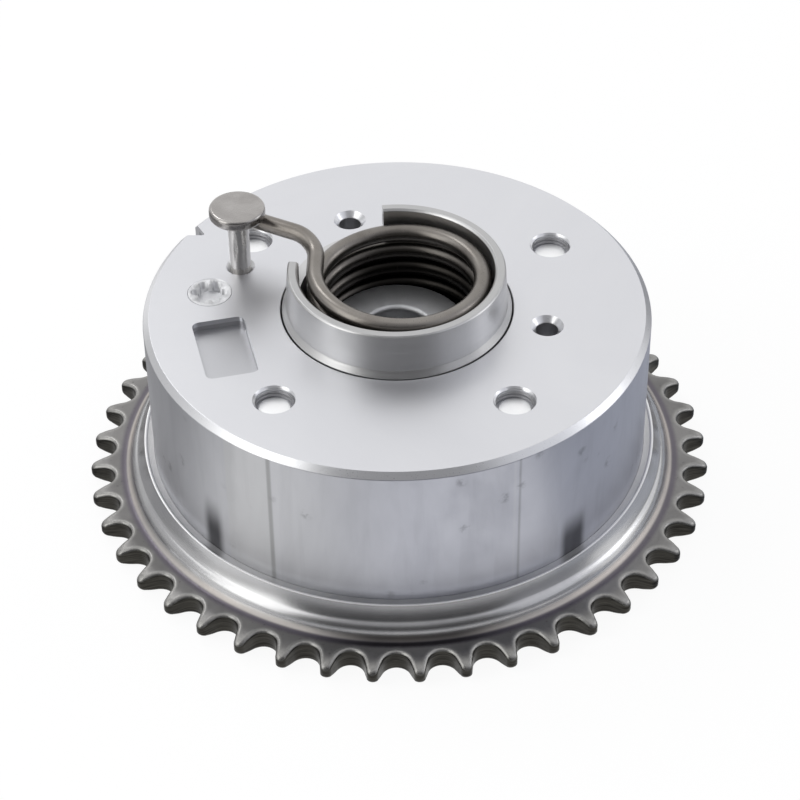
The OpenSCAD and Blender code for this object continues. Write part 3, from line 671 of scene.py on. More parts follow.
# %% Colours of the teeth and the ring
tooth = tint(t, oil["Veil"], (0.15, 0.147, 0.145), (0.24, 0.235, 0.232))
# Painted shade: the upright flanks of the teeth are painted near black, over faint hob lines.
hob = f.use(clouds, Size=0.003, Upright=26.0)["Veil"]
tooth = tint(t, flank, tooth, tint(t, hob, (0.017, 0.016, 0.014), (0.062, 0.059, 0.052)))
tooth = tint(t, times(t, fine["Pits"], 0.5), tooth, (0.05, 0.048, 0.046))
tooth = tint(t, times(t, violet, 0.75), tooth, (0.115, 0.102, 0.128))
# Painted shade: at the front the ring beside the bead is painted near black.
front = window(t, f.turn, -103.0, -72.0, 9.0)
painted_shade = times(t, violet, front)
tooth = tint(t, times(t, painted_shade, 0.85), tooth, (0.012, 0.011, 0.012))
top = number(t, "SUBTRACT", 1.0, side)
edge = number(t, "MAXIMUM", edge, ramp(t, f.radius, 55.2 * MM, 57.2 * MM, 0.0, 0.95))
worn = times(t, edge, top, ramp(t, fine["Height"], 0.3, 0.7, 0.45, 0.85))
tooth = tint(t, worn, tooth, (0.42, 0.415, 0.40))
print("sprocket nodes", len(t.nodes))

# %% Colours and gloss of the lip
bright = tint(t, oil["Veil"], (0.52, 0.52, 0.53), (0.62, 0.62, 0.625))
foot = ramp(t, f.z, 4.65 * MM, 5.25 * MM, 0.9, 0.0)
bright = tint(t, foot, bright, tint(t, oil["Veil"], (0.40, 0.38, 0.365), (0.52, 0.475, 0.44)))
# Painted shade: at the front the bead's foot is painted near black.
bright = tint(t, times(t, foot, front, 0.95), bright, (0.03, 0.028, 0.03))
# Painted highlight: the lip's narrow ridge is painted lighter.
bright = tint(t, ridge, bright, (0.84, 0.84, 0.85))
f.colour(tint(t, lip, tooth, bright))
tooth_rough = ramp(t, fine["Height"], 0.2, 0.8, 0.30, 0.44)
lip_rough = ramp(t, turning["Sheen"], 0.3, 0.7, 0.21, 0.27)
matt = number(t, "MAXIMUM", number(t, "MAXIMUM", ridge, ledge), foot)
lip_rough = f.between(matt, lip_rough, ramp(t, fine["Height"], 0.2, 0.8, 0.44, 0.52))
f.rough(f.between(lip, tooth_rough, lip_rough))
f.bump(tint(t, lip, fine["Height"], times(t, turning["Height"], 0.3)), 0.012, 0.5)

# %% [markdown]
# The other metals differ in colour and in the marks of their making: drawn wire with a fine grain, a
# brushed pin head, a sleeve with lathe rings, bright bolts and a dark sintered rotor.

# %% Other metals
def plain_metal(name, dark, light, gloss, size, marks, depth, shade_z=None):
    """A metal with clouds between two colours, a range of gloss, and marks of a given depth in millimetres.
    Below the heights of shade_z it is painted darker, painted shade deep down in a well, and less so towards
    -X."""
    finish = Finish(name)
    tree = finish.tree
    veil = finish.use(clouds, Size=size)["Veil"]
    height = marks(finish)
    colour = tint(tree, veil, dark, light)
    # Painted shade: darker below shade_z, and less of it towards -X.
    if shade_z:
        painted_shade = ramp(tree, finish.z, shade_z[0] * MM, shade_z[1] * MM, 0.95, 0.0)
        painted_shade = times(tree, painted_shade, ramp(tree, finish.x, -13 * MM, -5 * MM, 0.3, 1.0))
        colour = tint(tree, painted_shade, colour, (0.012, 0.011, 0.010))
    finish.colour(colour)
    finish.rough(ramp(tree, height, 0.25, 0.75, *gloss))
    finish.bump(height, depth, 0.6)
    return finish


def lathe_marks(pitch):
    return lambda finish: finish.use(rings, Pitch=pitch, Run=0.6)["Height"]


def grain_marks(size):
    return lambda finish: finish.use(grain, Size=size)["Height"]


def brush_marks(size, degrees, centre):
    def marks(finish):
        return finish.use(brush, finish.turned_axes(degrees, centre), Size=size, Long=0.05)["Height"]
    return marks


# The wire's deep turns are painted darker: painted shade.
spring_steel = plain_metal("spring_steel", (0.20, 0.183, 0.166), (0.275, 0.258, 0.24), (0.26, 0.38), 0.006,
                           grain_marks(0.0003), 0.006, shade_z=(36.0, 48.0))
sleeve_steel = plain_metal("sleeve_steel", (0.57, 0.57, 0.57), (0.66, 0.66, 0.665), (0.30, 0.42), 0.02,
                           lathe_marks(0.00035), 0.004)
rim = ramp(sleeve_steel.tree, sleeve_steel.z, 46.25 * MM, 46.45 * MM, 0.0, 0.35)
side_colour = sleeve_steel.shader.inputs["Base Color"].links[0].from_socket
sleeve_steel.colour(tint(sleeve_steel.tree, rim, side_colour, (0.24, 0.24, 0.245)))
bolt_steel = plain_metal("bolt_steel", (0.93, 0.935, 0.945), (0.975, 0.98, 0.985), (0.38, 0.48), 0.004,
                         grain_marks(0.0003), 0.005)
seat_steel = plain_metal("seat_steel", (0.65, 0.655, 0.675), (0.81, 0.815, 0.83), (0.46, 0.60), 0.003,
                         grain_marks(0.0005), 0.012)
rotor_steel = plain_metal("rotor_steel", (0.49, 0.495, 0.51), (0.59, 0.595, 0.61), (0.42, 0.56), 0.01,
                          grain_marks(0.0004), 0.01)


def matt_stuff(name, dark, light, rough_from, rough_to):
    """Rubber or plastic with a fine grain."""
    finish = Finish(name, metallic=0.0)
    height = finish.use(grain, Size=0.0003)["Height"]
    finish.colour(tint(finish.tree, height, dark, light))
    finish.rough(ramp(finish.tree, height, 0.2, 0.8, rough_from, rough_to))
    finish.bump(height, 0.01, 0.5)
    return finish


seal_rubber = matt_stuff("seal_rubber", (0.02, 0.02, 0.02), (0.045, 0.045, 0.045), 0.6, 0.75)
seal_plastic = matt_stuff("seal_plastic", (0.10, 0.085, 0.07), (0.15, 0.13, 0.11), 0.45, 0.6)
print("materials", len(bpy.data.materials))

# %% [markdown]
# The housing is made as in a workshop: a turned blank, then cutters. The blank is a rounded profile, so the
# chamfer, the bore and the foot have soft edges. The cutters are the chambers inside, the tapped holes, the
# tool holes, the pocket, the notch and the seats of the insert and the pin.

# %% Housing blank
BOLT_CIRCLE, BOLT_TURNS, BOLT_END = 33.4, (31.4, 143.0, 230.3, 306.9), 35.9
OVER = 1.0
groove_in, groove_out, groove_top = 41.75, 43.95, 8.4
hole_edge, foot_edge = 0.15, 0.4
blank_profile = [(FACE_HOLE_R, PLATE_T), (FACE_HOLE_R, FACE_Z - hole_edge), (FACE_HOLE_R + hole_edge, FACE_Z),
                 (BODY_R - CHAMFER, FACE_Z), (BODY_R, FACE_Z - CHAMFER), (BODY_R, PLATE_T + foot_edge),
                 (BODY_R - foot_edge, PLATE_T), (groove_out, PLATE_T), (groove_out, groove_top),
                 (groove_in, groove_top), (groove_in, PLATE_T)]
blank_round = [0.02, 0.15, 0.15, 0.18, 0.22, 0.2, 0.2, 0.02, 0.02, 0.02, 0.02]
housing_blank = turned_mesh("housing_blank", rounded(blank_profile, blank_round), 360)
print("blank", len(housing_blank.polygons), "faces")

# %% Chamber cutter
HUB_CLEAR_R, LUG_HALF = 24.08, 11.3
SLOT_L, SLOT_W = 3.4, 3.0


def arc(r, start, stop, steps):
    """Plan points on a circle about the axis, with angles in degrees."""
    return polar(r, np.linspace(start, stop, steps))


def lug_outline(turn):
    """The way in along one side of a lug, round its tip with the seal's slot, and out along the other."""
    slot = np.degrees(math.asin(SLOT_W / 2 / HUB_CLEAR_R))
    across = polar(SLOT_W / 2, turn + 90)
    floor_at = polar(HUB_CLEAR_R + SLOT_L, turn)
    before = arc(HUB_CLEAR_R, turn - LUG_HALF, turn - slot, 8)
    after = arc(HUB_CLEAR_R, turn + slot, turn + LUG_HALF, 8)
    return np.concatenate([before, [floor_at - across, floor_at + across], after])


loop = []
for turn, following in zip(BOLT_TURNS, np.roll(BOLT_TURNS, -1)):
    span = (following - turn) % 360
    loop += [lug_outline(turn), arc(CHAMBER_R, turn + LUG_HALF, turn + span - LUG_HALF, 48)]
chamber_cutter = drawn_up("chambers", np.concatenate(loop), PLATE_T - OVER, FACE_UNDER)
print("chamber outline", sum(len(part) for part in loop), "points")

# %% Hole cutters
THREAD_PITCH, THREAD_R, THREAD_RISE = 0.8, 3.42, 0.07
TOOL_CIRCLE, TOOL_TURNS, TOOL_R, TOOL_DEPTH, TOOL_SINK = 27.4, (-13.5, 108.4), 2.0, 5.0, 1.0
BOLT_WAY_R = 3.05
LOCK_AT, LOCK_SEAT_R = polar(34.2, 172.5), 3.97
POCKET_AT, POCKET_TURN, POCKET_DEPTH = polar(CHAMBER_R - 7.57, 200.39), 103.0, 1.9
NOTCH_TURN, NOTCH_REACH, NOTCH_W, NOTCH_DEPTH = 148.5, 4.0, 4.6, 3.4
RIM = 0.16


def drill(name, profile, radius, columns, centre):
    """A turned cutter whose profile starts and ends on its axis."""
    points = turned(rounded(profile, radius), columns, centre)
    return mesh_from(name, points, grid_faces(*points.shape[:2], True, False))


def plain_hole(name, r, z0, centre, rim=RIM):
    """A straight hole that flares a little at the face, which breaks its edge."""
    profile = [(0, z0), (r, z0), (r, FACE_Z - rim), (r + rim + OVER, FACE_Z + OVER), (0, FACE_Z + OVER)]
    return drill(name, profile, [0, 0.05, rim, 0, 0], 64, centre)


def tapped_mouth(name, centre):
    """A tapped hole: its radius is a wave of the height less the turn, so its crests climb like a screw's."""
    a = np.linspace(0, 2 * np.pi, 72, endpoint=False)[:, None]
    z = np.linspace(BOLT_END - 0.02, FACE_Z - 0.35, 40)[None, :]
    r = THREAD_R + THREAD_RISE * np.sin(2 * np.pi * z / THREAD_PITCH - a)
    flare_z, flare_r = FACE_Z + np.array([-0.2, 0, OVER]), THREAD_R + np.array([0.15, 0.34, 1.34])
    z = np.concatenate([np.broadcast_to(z, r.shape), np.broadcast_to(flare_z, (len(a), 3))], 1)
    r = np.concatenate([r, np.broadcast_to(flare_r, (len(a), 3))], 1)
    r = np.concatenate([r[:, :1] * 0, r, r[:, :1] * 0], 1)
    z = np.concatenate([z[:, :1], z, z[:, -1:]], 1)
    points = np.stack([centre[0] + r * np.cos(a), centre[1] + r * np.sin(a), z], 2)
    return mesh_from(name, points, grid_faces(*points.shape[:2], True, False))


bolt_places = [polar(BOLT_CIRCLE, turn) for turn in BOLT_TURNS]
cutters = [chamber_cutter]
for at in bolt_places:
    shaft = [(0, PLATE_T - OVER), (BOLT_WAY_R, PLATE_T - OVER), (BOLT_WAY_R, BOLT_END), (0, BOLT_END)]
    cutters += [tapped_mouth("mouth", at), drill("shaft", shaft, 0, 48, at)]
for turn in TOOL_TURNS:
    profile = [(0, FACE_Z - TOOL_DEPTH), (TOOL_R, FACE_Z - TOOL_DEPTH), (TOOL_R, FACE_Z - TOOL_SINK),
               (TOOL_R + TOOL_SINK + OVER, FACE_Z + OVER), (0, FACE_Z + OVER)]
    cutters.append(drill("tool_hole", profile, [0, 0.2, 0.15, 0, 0], 64, polar(TOOL_CIRCLE, turn)))
cutters.append(plain_hole("lock_hole", LOCK_SEAT_R, FACE_UNDER - OVER, LOCK_AT, 0.1))
print("hole cutters", len(cutters) - 1)

# %% Leg of the spring in plan
COIL_R, WIRE_R, COIL_EXIT, COIL_SHIFT = 14.95, 1.55, 178.0, np.array([0.4, 0.0])
LEG_STRAIGHT, LEG_BEND_R, LEG_TURN, LEG_TAIL, LEG_PIN_AT = 3.6, 7.2, 64.5, 12.8, 9.8
PIN_R, PIN_DEEP, SEAT_GAP = 1.95, 5.0, 0.02
leg_from = COIL_SHIFT + polar(COIL_R, COIL_EXIT)
leg_heading = COIL_EXIT - 90
bend_from = leg_from + LEG_STRAIGHT * polar(1, leg_heading)
bend_centre = bend_from + LEG_BEND_R * polar(1, leg_heading + 90)
tail_heading = leg_heading + LEG_TURN
tail_from = bend_centre + LEG_BEND_R * polar(1, tail_heading - 90)
tail_to = tail_from + LEG_TAIL * polar(1, tail_heading)
PIN_AT = tail_from + LEG_PIN_AT * polar(1, tail_heading)
PIN_AT = PIN_AT + (WIRE_R + PIN_R + SEAT_GAP) * polar(1, tail_heading + 90)
print("pin at", PIN_AT.round(2))

# %% Pocket, notch and pin seat
pin_hole_r, pin_hole_z, pin_sink = PIN_R + SEAT_GAP, FACE_Z - PIN_DEEP - SEAT_GAP, 0.7
pin_profile = [(0, pin_hole_z), (pin_hole_r, pin_hole_z), (pin_hole_r, FACE_Z - pin_sink),
               (PIN_R + pin_sink + OVER, FACE_Z + OVER), (0, FACE_Z + OVER)]
cutters.append(drill("pin_hole", pin_profile, [0, 0.1, 0.1, 0, 0], 48, PIN_AT))


def turn_plan(points, degrees):
    """Plan points turned about the origin."""
    c, s = polar(1, degrees)
    return np.asarray(points, float) @ np.array([[c, s], [-s, c]])


pocket = rounded([(-8, -4.7), (8, -4.7), (8, 4.7), (-8, 4.7)], 1.4)
pocket = POCKET_AT + turn_plan(pocket, POCKET_TURN)
cutters.append(drawn_up("pocket", pocket, FACE_Z - POCKET_DEPTH, FACE_Z + OVER))
notch = rounded([(0, 0), (2 * NOTCH_REACH, -NOTCH_W), (2 * NOTCH_REACH, NOTCH_W)], [0.4, 0, 0])
notch = turn_plan(notch + [BODY_R - NOTCH_REACH, 0], NOTCH_TURN)
cutters.append(drawn_up("notch", notch, FACE_Z - NOTCH_DEPTH, FACE_Z + OVER))
finish_piece("vane_housing", cut("vane_housing", housing_blank, cutters), "stator", housing_steel, "housing")

# %% [markdown]
# The sprocket is one grid. Its columns follow the outline of the teeth, 32 for each tooth. Its rows go
# round the cross-section: out under the teeth, round their edges, back over them, and up over the bead and
# the lip.

# %% Tooth outline
TEETH, PITCH_R, SEAT_R, SEAT_HALF, FLANK_SLOPE, TIP_R = 44, 56.07, 2.525, 69.0, 0.384, 57.97
TOOTH_START, TOOTH_ROUND, TIP_ROUND = 19.49, 0.65, 1.1
RELIEF_R, RELIEF_START = 8.0, 54.03


def half_gap():
    """From the bottom of a gap to the middle of a tip: the bush's seat, the straight flank, the tip's arc."""
    a = np.radians(np.linspace(0, SEAT_HALF, 8))
    seat = np.c_[PITCH_R - SEAT_R * np.cos(a), SEAT_R * np.sin(a)]
    reach = np.linspace(0.25, 1, 4)[:, None] * (TIP_R - TIP_ROUND - seat[-1, 0])
    flank = seat[-1] + reach * [1, FLANK_SLOPE]
    corner = math.degrees(math.atan2(flank[-1, 1], flank[-1, 0]))
    b = np.radians(np.linspace(18, 90, 5))
    middle = 180 / TEETH
    tip = polar(TIP_R - TIP_ROUND * (1 - np.sin(b)), middle - (middle - corner) * np.cos(b))
    return np.concatenate([seat, flank, tip])


half = half_gap()
one_pitch = np.concatenate([(half * [1, -1])[:0:-1], half])[1:]
gaps = [TOOTH_START + (i + 0.5) * 360 / TEETH for i in range(TEETH)]
outline = np.concatenate([turn_plan(one_pitch, gap) for gap in gaps])
along = np.roll(outline, -1, 0) - np.roll(outline, 1, 0)
outwards = np.c_[along[:, 1], -along[:, 0]] / np.linalg.norm(along, axis=1, keepdims=True)
column_turn = np.arctan2(outline[:, 1], outline[:, 0])
print("columns", len(outline))

# %% [markdown]
# The lip is read from the outside in: a fillet rises from the flange into a rounded bead, a hollow cove
# climbs from the bead's back to a narrow ridge, and a ledge behind the ridge carries the housing's foot.
# Bead and fillet are arcs that meet with one tangent, and the cove is a parabola.

# %% Cross-section of the lip
BEAD_R, BEAD_CURVE, BEAD_FOOT, BEAD_SLOPE, VALLEY_Z = 50.35, 3.0, 20.0, 58.0, 6.85
BORE_R, BORE_EDGE, LIP_EDGE = 16.48, 0.4, 0.03
valley = np.array([BEAD_R - BEAD_CURVE * (1 - math.cos(math.radians(BEAD_SLOPE))), VALLEY_Z])
ridge_edge = np.array([47.5, RIDGE_Z - 0.1])
bead = valley + BEAD_CURVE * (arc(1, BEAD_FOOT, BEAD_SLOPE, 10) - polar(1, BEAD_SLOPE))
fillet_r = (bead[0, 1] - FLANGE_T) / (1 - math.sin(math.radians(BEAD_FOOT)))
fillet = bead[0] + fillet_r * (polar(1, BEAD_FOOT) - arc(1, 90, BEAD_FOOT, 9)[:-1])
cove_pull = (valley + ridge_edge) / 2 - [0.16, 0.085]
u = np.linspace(0, 1, 8)[1:, None]
cove = (1 - u) ** 2 * valley + 2 * u * (1 - u) * cove_pull + u ** 2 * ridge_edge
ridge = [(47.47, 9.57), (47.4, RIDGE_Z), (47.22, RIDGE_Z), (47.12, 9.57), (46.9, 9.33), (46.8, LEDGE_Z)]
inside = [(LIP_IN + LIP_EDGE, LEDGE_Z), (LIP_IN, LEDGE_Z - LIP_EDGE), (LIP_IN, PLATE_T), (BORE_R, PLATE_T),
          (BORE_R, BORE_EDGE), (BORE_R + BORE_EDGE, 0)]
flange = [(RING_R, FLANGE_T), (52.0, FLANGE_T)]
rear = [(34, 0), (RING_R, 0)]
LIP = np.concatenate([flange, fillet, bead, cove, ridge, inside, rear])
print("lip rows", len(LIP))


# %% Sprocket rows
def relief(r):
    """How far a tooth's side falls back: a circle of RELIEF_R that starts at RELIEF_START."""
    return RELIEF_R - np.sqrt(RELIEF_R ** 2 - np.clip(r - RELIEF_START, 0, None) ** 2)


def tooth_row(inset, share, drop):
    """A row of the upper side: the outline moved in, drawn towards the ring, and lowered."""
    ring = RING_R * np.c_[np.cos(column_turn), np.sin(column_turn)]
    plan = ring + (outline - inset * outwards - ring) * share
    return np.c_[plan, FLANGE_T - relief(np.linalg.norm(plan, axis=1)) - drop]


upper = [tooth_row(TOOTH_ROUND, share, 0) for share in (0.2, 0.4, 0.6, 0.8, 1.0)]
for t in np.radians((25, 50, 72, 90)):
    upper.append(tooth_row(TOOTH_ROUND * (1 - math.sin(t)), 1.0, TOOTH_ROUND * (1 - math.cos(t))))
lower = [row * [1, 1, -1] + [0, 0, FLANGE_T] for row in upper]
rows = np.concatenate([lower, upper[::-1], np.swapaxes(carried_round(LIP, column_turn), 0, 1)])
sprocket_blank = mesh_from("sprocket_blank", rows, grid_faces(*rows.shape[:2], True, True))
print("sprocket grid", rows.shape[:2])

# %% Bolt and dowel ways
SINK_R, BOLT_HEAD_TOP = 5.3, 3.6
DOWEL_AT, DOWEL_R, DOWEL_LOW = polar(38.2, 314.7), 1.52, 3.88
sprocket_cutters = []
for at in bolt_places:
    profile = [(0, -OVER), (SINK_R, -OVER), (SINK_R, BOLT_HEAD_TOP), (BOLT_WAY_R, BOLT_HEAD_TOP),
               (BOLT_WAY_R, PLATE_T + OVER), (0, PLATE_T + OVER)]
    sprocket_cutters.append(drill("bolt_way", profile, 0, 64, at))
dowel_way = [(0, DOWEL_LOW), (DOWEL_R, DOWEL_LOW), (DOWEL_R, PLATE_T + OVER), (0, PLATE_T + OVER)]
sprocket_cutters.append(drill("dowel_way", dowel_way, 0, 32, DOWEL_AT))
sprocket_mesh = cut("chain_sprocket", sprocket_blank, sprocket_cutters)
print("sprocket cutters", len(sprocket_cutters))

# %% [markdown]
# Chain and handling polish a tooth's edge first. How worn a point is depends on its distance from the
# outline, seen from above. All teeth are alike and symmetric, so every point is turned back to the first
# gap and is compared with the points of one pitch only. The mesh keeps the result as an attribute, which
# the material reads.

# %% Worn edges of the teeth
WEAR_FROM, WEAR_FULL = 1.1, 0.3
places = np.empty(3 * len(sprocket_mesh.vertices), np.float32)
sprocket_mesh.vertices.foreach_get("co", places)
x, y = places.reshape(-1, 3)[:, :2].T.astype(float) / MM
turn = np.degrees(np.arctan2(y, x)) - gaps[0]
turn = (turn + 180 / TEETH) % (360 / TEETH) - 180 / TEETH
both_sides = np.concatenate([half * [1, -1], half])
apart = polar(np.hypot(x, y), turn)[:, None] - both_sides
nearest = np.sqrt((apart ** 2).sum(2).min(1))
wear = np.clip((WEAR_FROM - nearest) / (WEAR_FROM - WEAR_FULL), 0, 1)
sprocket_mesh.attributes.new("edge", "FLOAT", "POINT").data.foreach_set("value", wear.astype(np.float32))
print("worn points", int((wear > 0.5).sum()))
finish_piece("chain_sprocket", sprocket_mesh, "stator", sprocket_steel, "sprocket_plate")

# %% [markdown]
# The sleeve is turned too, then slotted for the spring's leg, and notched inside for the spring's inner
# end.

# %% Spring sleeve
SLEEVE_IN, SLEEVE_OUT, GROOVE_Z = 17.6, 20.7, 26.54
SLOT_FROM, SLOT_TO, SLOT_FLOOR = 97.5, 173.0, 40.3
TANG_BEND_R, TANG_BEND = 2.2, 80.0
SLEEVE_TOP, TANG_REACH = 46.5, 18.9
LEG_Z, LEG_LIFT, COIL_PITCH, LEVEL_TURNS = 46.75, 1.0, 3.75, 0.08
COIL_LOW = GROOVE_Z + WIRE_R + 0.15
COIL_TURNS = (LEG_Z - LEG_LIFT - COIL_LOW) / COIL_PITCH + LEVEL_TURNS
sleeve_profile = [(SLEEVE_IN, GROOVE_Z), (SLEEVE_OUT, GROOVE_Z), (SLEEVE_OUT, FACE_Z), (19.95, 39.3),
                  (19.5, SLEEVE_TOP - 0.3), (19.2, SLEEVE_TOP), (18.0, SLEEVE_TOP),
                  (SLEEVE_IN, SLEEVE_TOP - 0.4)]
sleeve_line = rounded(sleeve_profile, [0.05, 0.1, 0.3, 0.5, 0.3, 0.3, 0.2, 0.2])
sleeve_blank = turned_mesh("sleeve_blank", sleeve_line, 240)
wide = [arc(SLEEVE_OUT + OVER, SLOT_FROM, SLOT_TO, 32), arc(SLEEVE_IN - OVER, SLOT_TO, SLOT_FROM, 32)]
leg_slot = drawn_up("leg_slot", np.concatenate(wide), SLOT_FLOOR, SLEEVE_TOP + OVER)
print("sleeve blank", len(sleeve_blank.polygons), "faces")

# %% Notch for the spring's inner end
tang_turn = COIL_EXIT + 360 * COIL_TURNS
tang_heading = tang_turn + 90
tang_centre = COIL_SHIFT + polar(COIL_R, tang_turn) + TANG_BEND_R * polar(1, tang_heading - 90)
tang_arc = tang_centre + arc(TANG_BEND_R, tang_heading + 90, tang_heading + 90 - TANG_BEND, 11)
tang_out = polar(1, tang_heading - TANG_BEND)
along_out = tang_arc[-1] @ tang_out
tang_l = math.sqrt(along_out ** 2 - tang_arc[-1] @ tang_arc[-1] + TANG_REACH ** 2) - along_out
tang_to = tang_arc[-1] + tang_out * tang_l
notch_turn = math.degrees(math.atan2(*tang_to[::-1]))
notch_half = WIRE_R + 0.3
box = [(SLEEVE_IN - OVER, -notch_half), (SLEEVE_OUT + OVER, -notch_half), (SLEEVE_OUT + OVER, notch_half),
       (SLEEVE_IN - OVER, notch_half)]
tang_notch = drawn_up("tang_notch", turn_plan(box, notch_turn), GROOVE_Z - OVER, COIL_LOW + WIRE_R + 0.3)
finish_piece("slotted_sleeve", cut("slotted_sleeve", sleeve_blank, [leg_slot, tang_notch]), "rotor",
             sleeve_steel, "spring_sleeve")

# %% [markdown]
# The spring is one wire along a path: the inner end, the coil, and the leg that bends out to the pin. A
# ring of points is carried along the path. The wire never runs upright, so one axis of the ring can always
# be kept level, and the wire doesn't twist. The spring joins the housing to the rotor; its piece here rides
# on neither body.

# %% Bias spring
def coil_height(t):
    """The coil lies level where it leaves for the pin, and then falls by its pitch each turn."""
    return LEG_Z - LEG_LIFT - COIL_PITCH * (np.maximum(t, LEVEL_TURNS) - LEVEL_TURNS)


def unit(vectors):
    """Vectors made one long."""
    return vectors / np.linalg.norm(vectors, axis=1, keepdims=True)


def wire_tube(name, path, r, sides):
    """A tube along a path: P + share r (cos a L + sin a U), with L level and U upright across the wire.
    Each end has four rings, whose share grows from 0 to 1 over a short way, so a small round closes it."""
    inner = len(path) - 2
    grow, way = np.array([0.0, 0.7, 0.93, 1.0]), np.array([0.0, 0.0, 0.12, 0.35])
    at = np.r_[np.zeros(4, int), 1:inner + 1, np.full(4, inner + 1)]
    share = np.r_[grow, np.ones(inner), grow[::-1]][:, None, None]
    shift = np.r_[way, np.zeros(inner), -way[::-1]][:, None]
    heading = unit(np.gradient(path, axis=0))[at]
    level = unit(np.cross(heading, [0, 0, 1.0]))
    upright = np.cross(heading, level)
    a = np.linspace(0, 2 * np.pi, sides, endpoint=False)[None, :, None]
    ring = np.cos(a) * level[:, None] + np.sin(a) * upright[:, None]
    points = (path[at] + heading * shift)[:, None] + ring * r * share
    return mesh_from(name, points, grid_faces(*points.shape[:2], False, True))


# %% Path of the wire
turns = np.linspace(COIL_TURNS, 0, 420)
tang_line = np.linspace(tang_to, tang_arc[-1], 8)[:-1]
flat_in = np.concatenate([tang_line, tang_arc[::-1]])[:-1]
coil = np.c_[COIL_SHIFT + polar(COIL_R, COIL_EXIT + 360 * turns), coil_height(turns)]
straight = np.linspace(leg_from, bend_from, 6)[1:-1]
share = np.linspace(0, 1, 25)
bow = bend_centre + polar(LEG_BEND_R, leg_heading - 90 + LEG_TURN * share)
bow_height = LEG_Z - LEG_LIFT * (1 - share ** 2 * (3 - 2 * share))
tail = np.linspace(tail_from, tail_to, 12)[1:]
wire_path = np.concatenate([np.c_[flat_in, np.full(len(flat_in), coil_height(COIL_TURNS))], coil,
                            np.c_[straight, np.full(len(straight), LEG_Z - LEG_LIFT)], np.c_[bow, bow_height],
                            np.c_[tail, np.full(len(tail), LEG_Z)]])
wire = finish_piece("bias_wire", smooth(wire_tube("bias_wire", wire_path, WIRE_R, 24)), None, spring_steel,
                    "bias_spring")
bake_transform(wire)

# %% [markdown]
# The pin is a turned profile with a rounded head, which is brushed, and a brighter ground shaft. The cover
# bolts are turned as well: each has a head with a star recess at the rear, and its flat end shows in the
# face's tapped hole. One bolt is made and copied.

# %% Spring pin
pin_steel = plain_metal("pin_steel", (0.34, 0.325, 0.315), (0.44, 0.425, 0.415), (0.16, 0.30), 0.004,
                        brush_marks(0.00022, 20, (*PIN_AT, 0)), 0.0025)
head_low, head_top, head_r = 49.6, 51.6, 5.1
t = pin_steel.tree
shaft = ramp(t, pin_steel.z, (head_low - 0.3) * MM, head_low * MM, 0.8, 0.0)
head_colour = pin_steel.shader.inputs["Base Color"].links[0].from_socket
pin_steel.colour(tint(t, shaft, head_colour, (0.62, 0.61, 0.595)))
pin_line = [(0, FACE_Z - PIN_DEEP), (PIN_R, FACE_Z - PIN_DEEP), (PIN_R, head_low), (head_r, head_low),
            (head_r, head_top), (0, head_top)]
pin_mesh = drill("headed_pin", pin_line, [0, 0.2, 0.25, 0.55, 0.75, 0], 96, PIN_AT)
finish_piece("headed_pin", smooth(pin_mesh), "stator", pin_steel, "spring_pin")

# %% Cover bolts
BOLT_R, BOLT_HEAD_R, BOLT_HEAD_LOW, BOLT_HEAD_EDGE, BOLT_TOP = 3.0, 5.0, 0.2, 0.3, 36.3
head_line = [(0, BOLT_HEAD_LOW), (BOLT_HEAD_R - BOLT_HEAD_EDGE, BOLT_HEAD_LOW),
             (BOLT_HEAD_R, BOLT_HEAD_LOW + BOLT_HEAD_EDGE), (BOLT_HEAD_R, BOLT_HEAD_TOP)]
end_line = [(BOLT_R, BOLT_HEAD_TOP), (BOLT_R, BOLT_TOP - 0.3), (2.75, BOLT_TOP - 0.1), (1.5, BOLT_TOP - 0.04),
            (0, BOLT_TOP)]
bolt_line = head_line + end_line
bolt_blank = drill("bolt_blank", bolt_line, [0, 0.1, 0.15, 0.1, 0.05, 0.1, 0.15, 0.6, 0], 64, (0, 0))


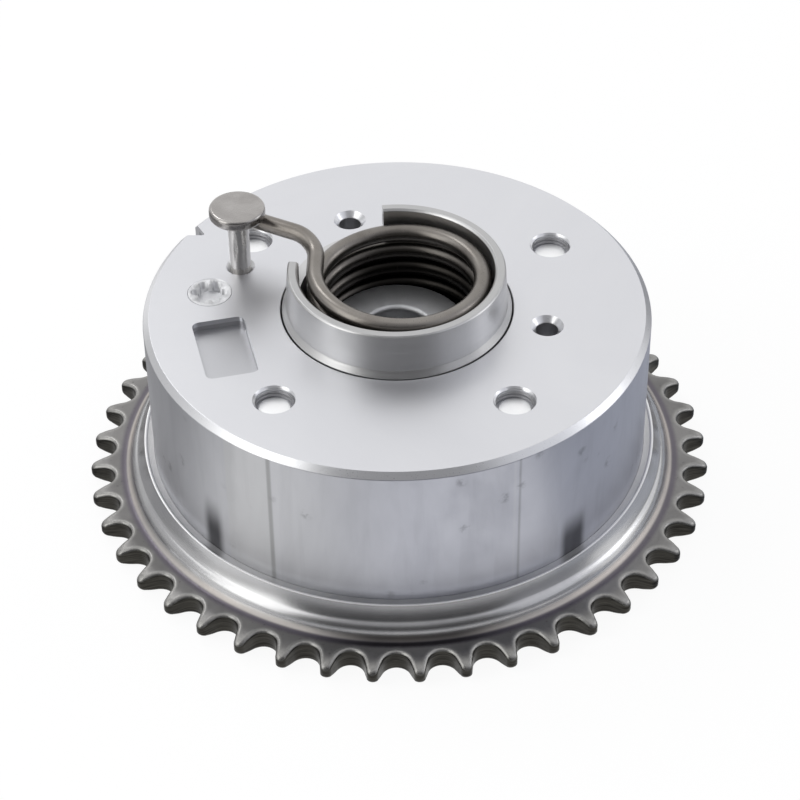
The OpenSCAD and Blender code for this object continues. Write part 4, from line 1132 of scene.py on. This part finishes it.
def star_line(r, lobe_r, lobe_at):
    """Outline of a star recess: the furthest of a circle and six lobe circles along each direction."""
    a = np.linspace(0, 2 * np.pi, 120, endpoint=False)
    off = (a + np.pi / 6) % (np.pi / 3) - np.pi / 6
    inside = np.clip(lobe_r ** 2 - (lobe_at * np.sin(off)) ** 2, 0, None)
    reach = np.where(inside > 0, lobe_at * np.cos(off) + np.sqrt(inside), 0)
    reach = np.maximum(reach, r)
    return np.c_[reach * np.cos(a), reach * np.sin(a)]


star = drawn_up("star", star_line(2.16, 0.78, 2.28), BOLT_HEAD_LOW - OVER, 2.24)
one_bolt = cut("bolt", bolt_blank, [star])
work = bmesh.new()
for at in bolt_places:
    start = len(work.verts)
    work.from_mesh(one_bolt)
    work.verts.ensure_lookup_table()
    bmesh.ops.translate(work, verts=work.verts[start:], vec=(at[0] * MM, at[1] * MM, 0))
bolts_mesh = bpy.data.meshes.new("bolt_ends")
work.to_mesh(bolts_mesh)
work.free()
finish_piece("bolt_ends", smooth(bolts_mesh), "stator", bolt_steel, "cover_bolts")

# %% [markdown]
# The rotor and the insert keep the shape of their CAD solids. A merged copy of each can be shaded smooth,
# so that its round faces look round. The inner pieces stay as they are and get their materials.

# %% Pieces kept from the frame
def dressed(name, node, body, finish):
    """A merged copy of a CAD node, shaded smooth, which stands for the node."""
    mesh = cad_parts[node].data.copy()
    work = bmesh.new()
    work.from_mesh(mesh)
    bmesh.ops.remove_doubles(work, verts=work.verts, dist=1e-6)
    work.to_mesh(mesh)
    work.free()
    return finish_piece(name, smooth(mesh), body, finish, node)


dressed("vane_rotor", "rotor", "rotor", rotor_steel)
dressed("lock_insert", "lock_seat", "stator", seat_steel)
inner = {"cover_seal": seal_rubber, "locating_dowel": bolt_steel, "lock_pin": pin_steel,
         "lock_cap": seat_steel}
for i in range(1, 5):
    for bar in ("vane_seal", "lug_seal"):
        inner[f"{bar}_{i}"] = seal_plastic
        inner[f"{bar}_spring_{i}"] = spring_steel
for node, finish in inner.items():
    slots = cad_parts[node].data.materials
    slots.clear()
    slots.append(finish.material)
print("inner pieces", len(inner))

# %% [markdown]
# The lock pin's spring is hidden inside the rotor. It stands on the cap and gets shorter as the pin slides
# back by 2.5 mm. Its copy here is a merged copy on the rotor, with a mesh of its own, at its full height.

# %% Lock spring
low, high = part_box("lock_spring")
lock_coil = dressed("lock_coil", "lock_spring", "rotor", spring_steel)
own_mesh(lock_coil)
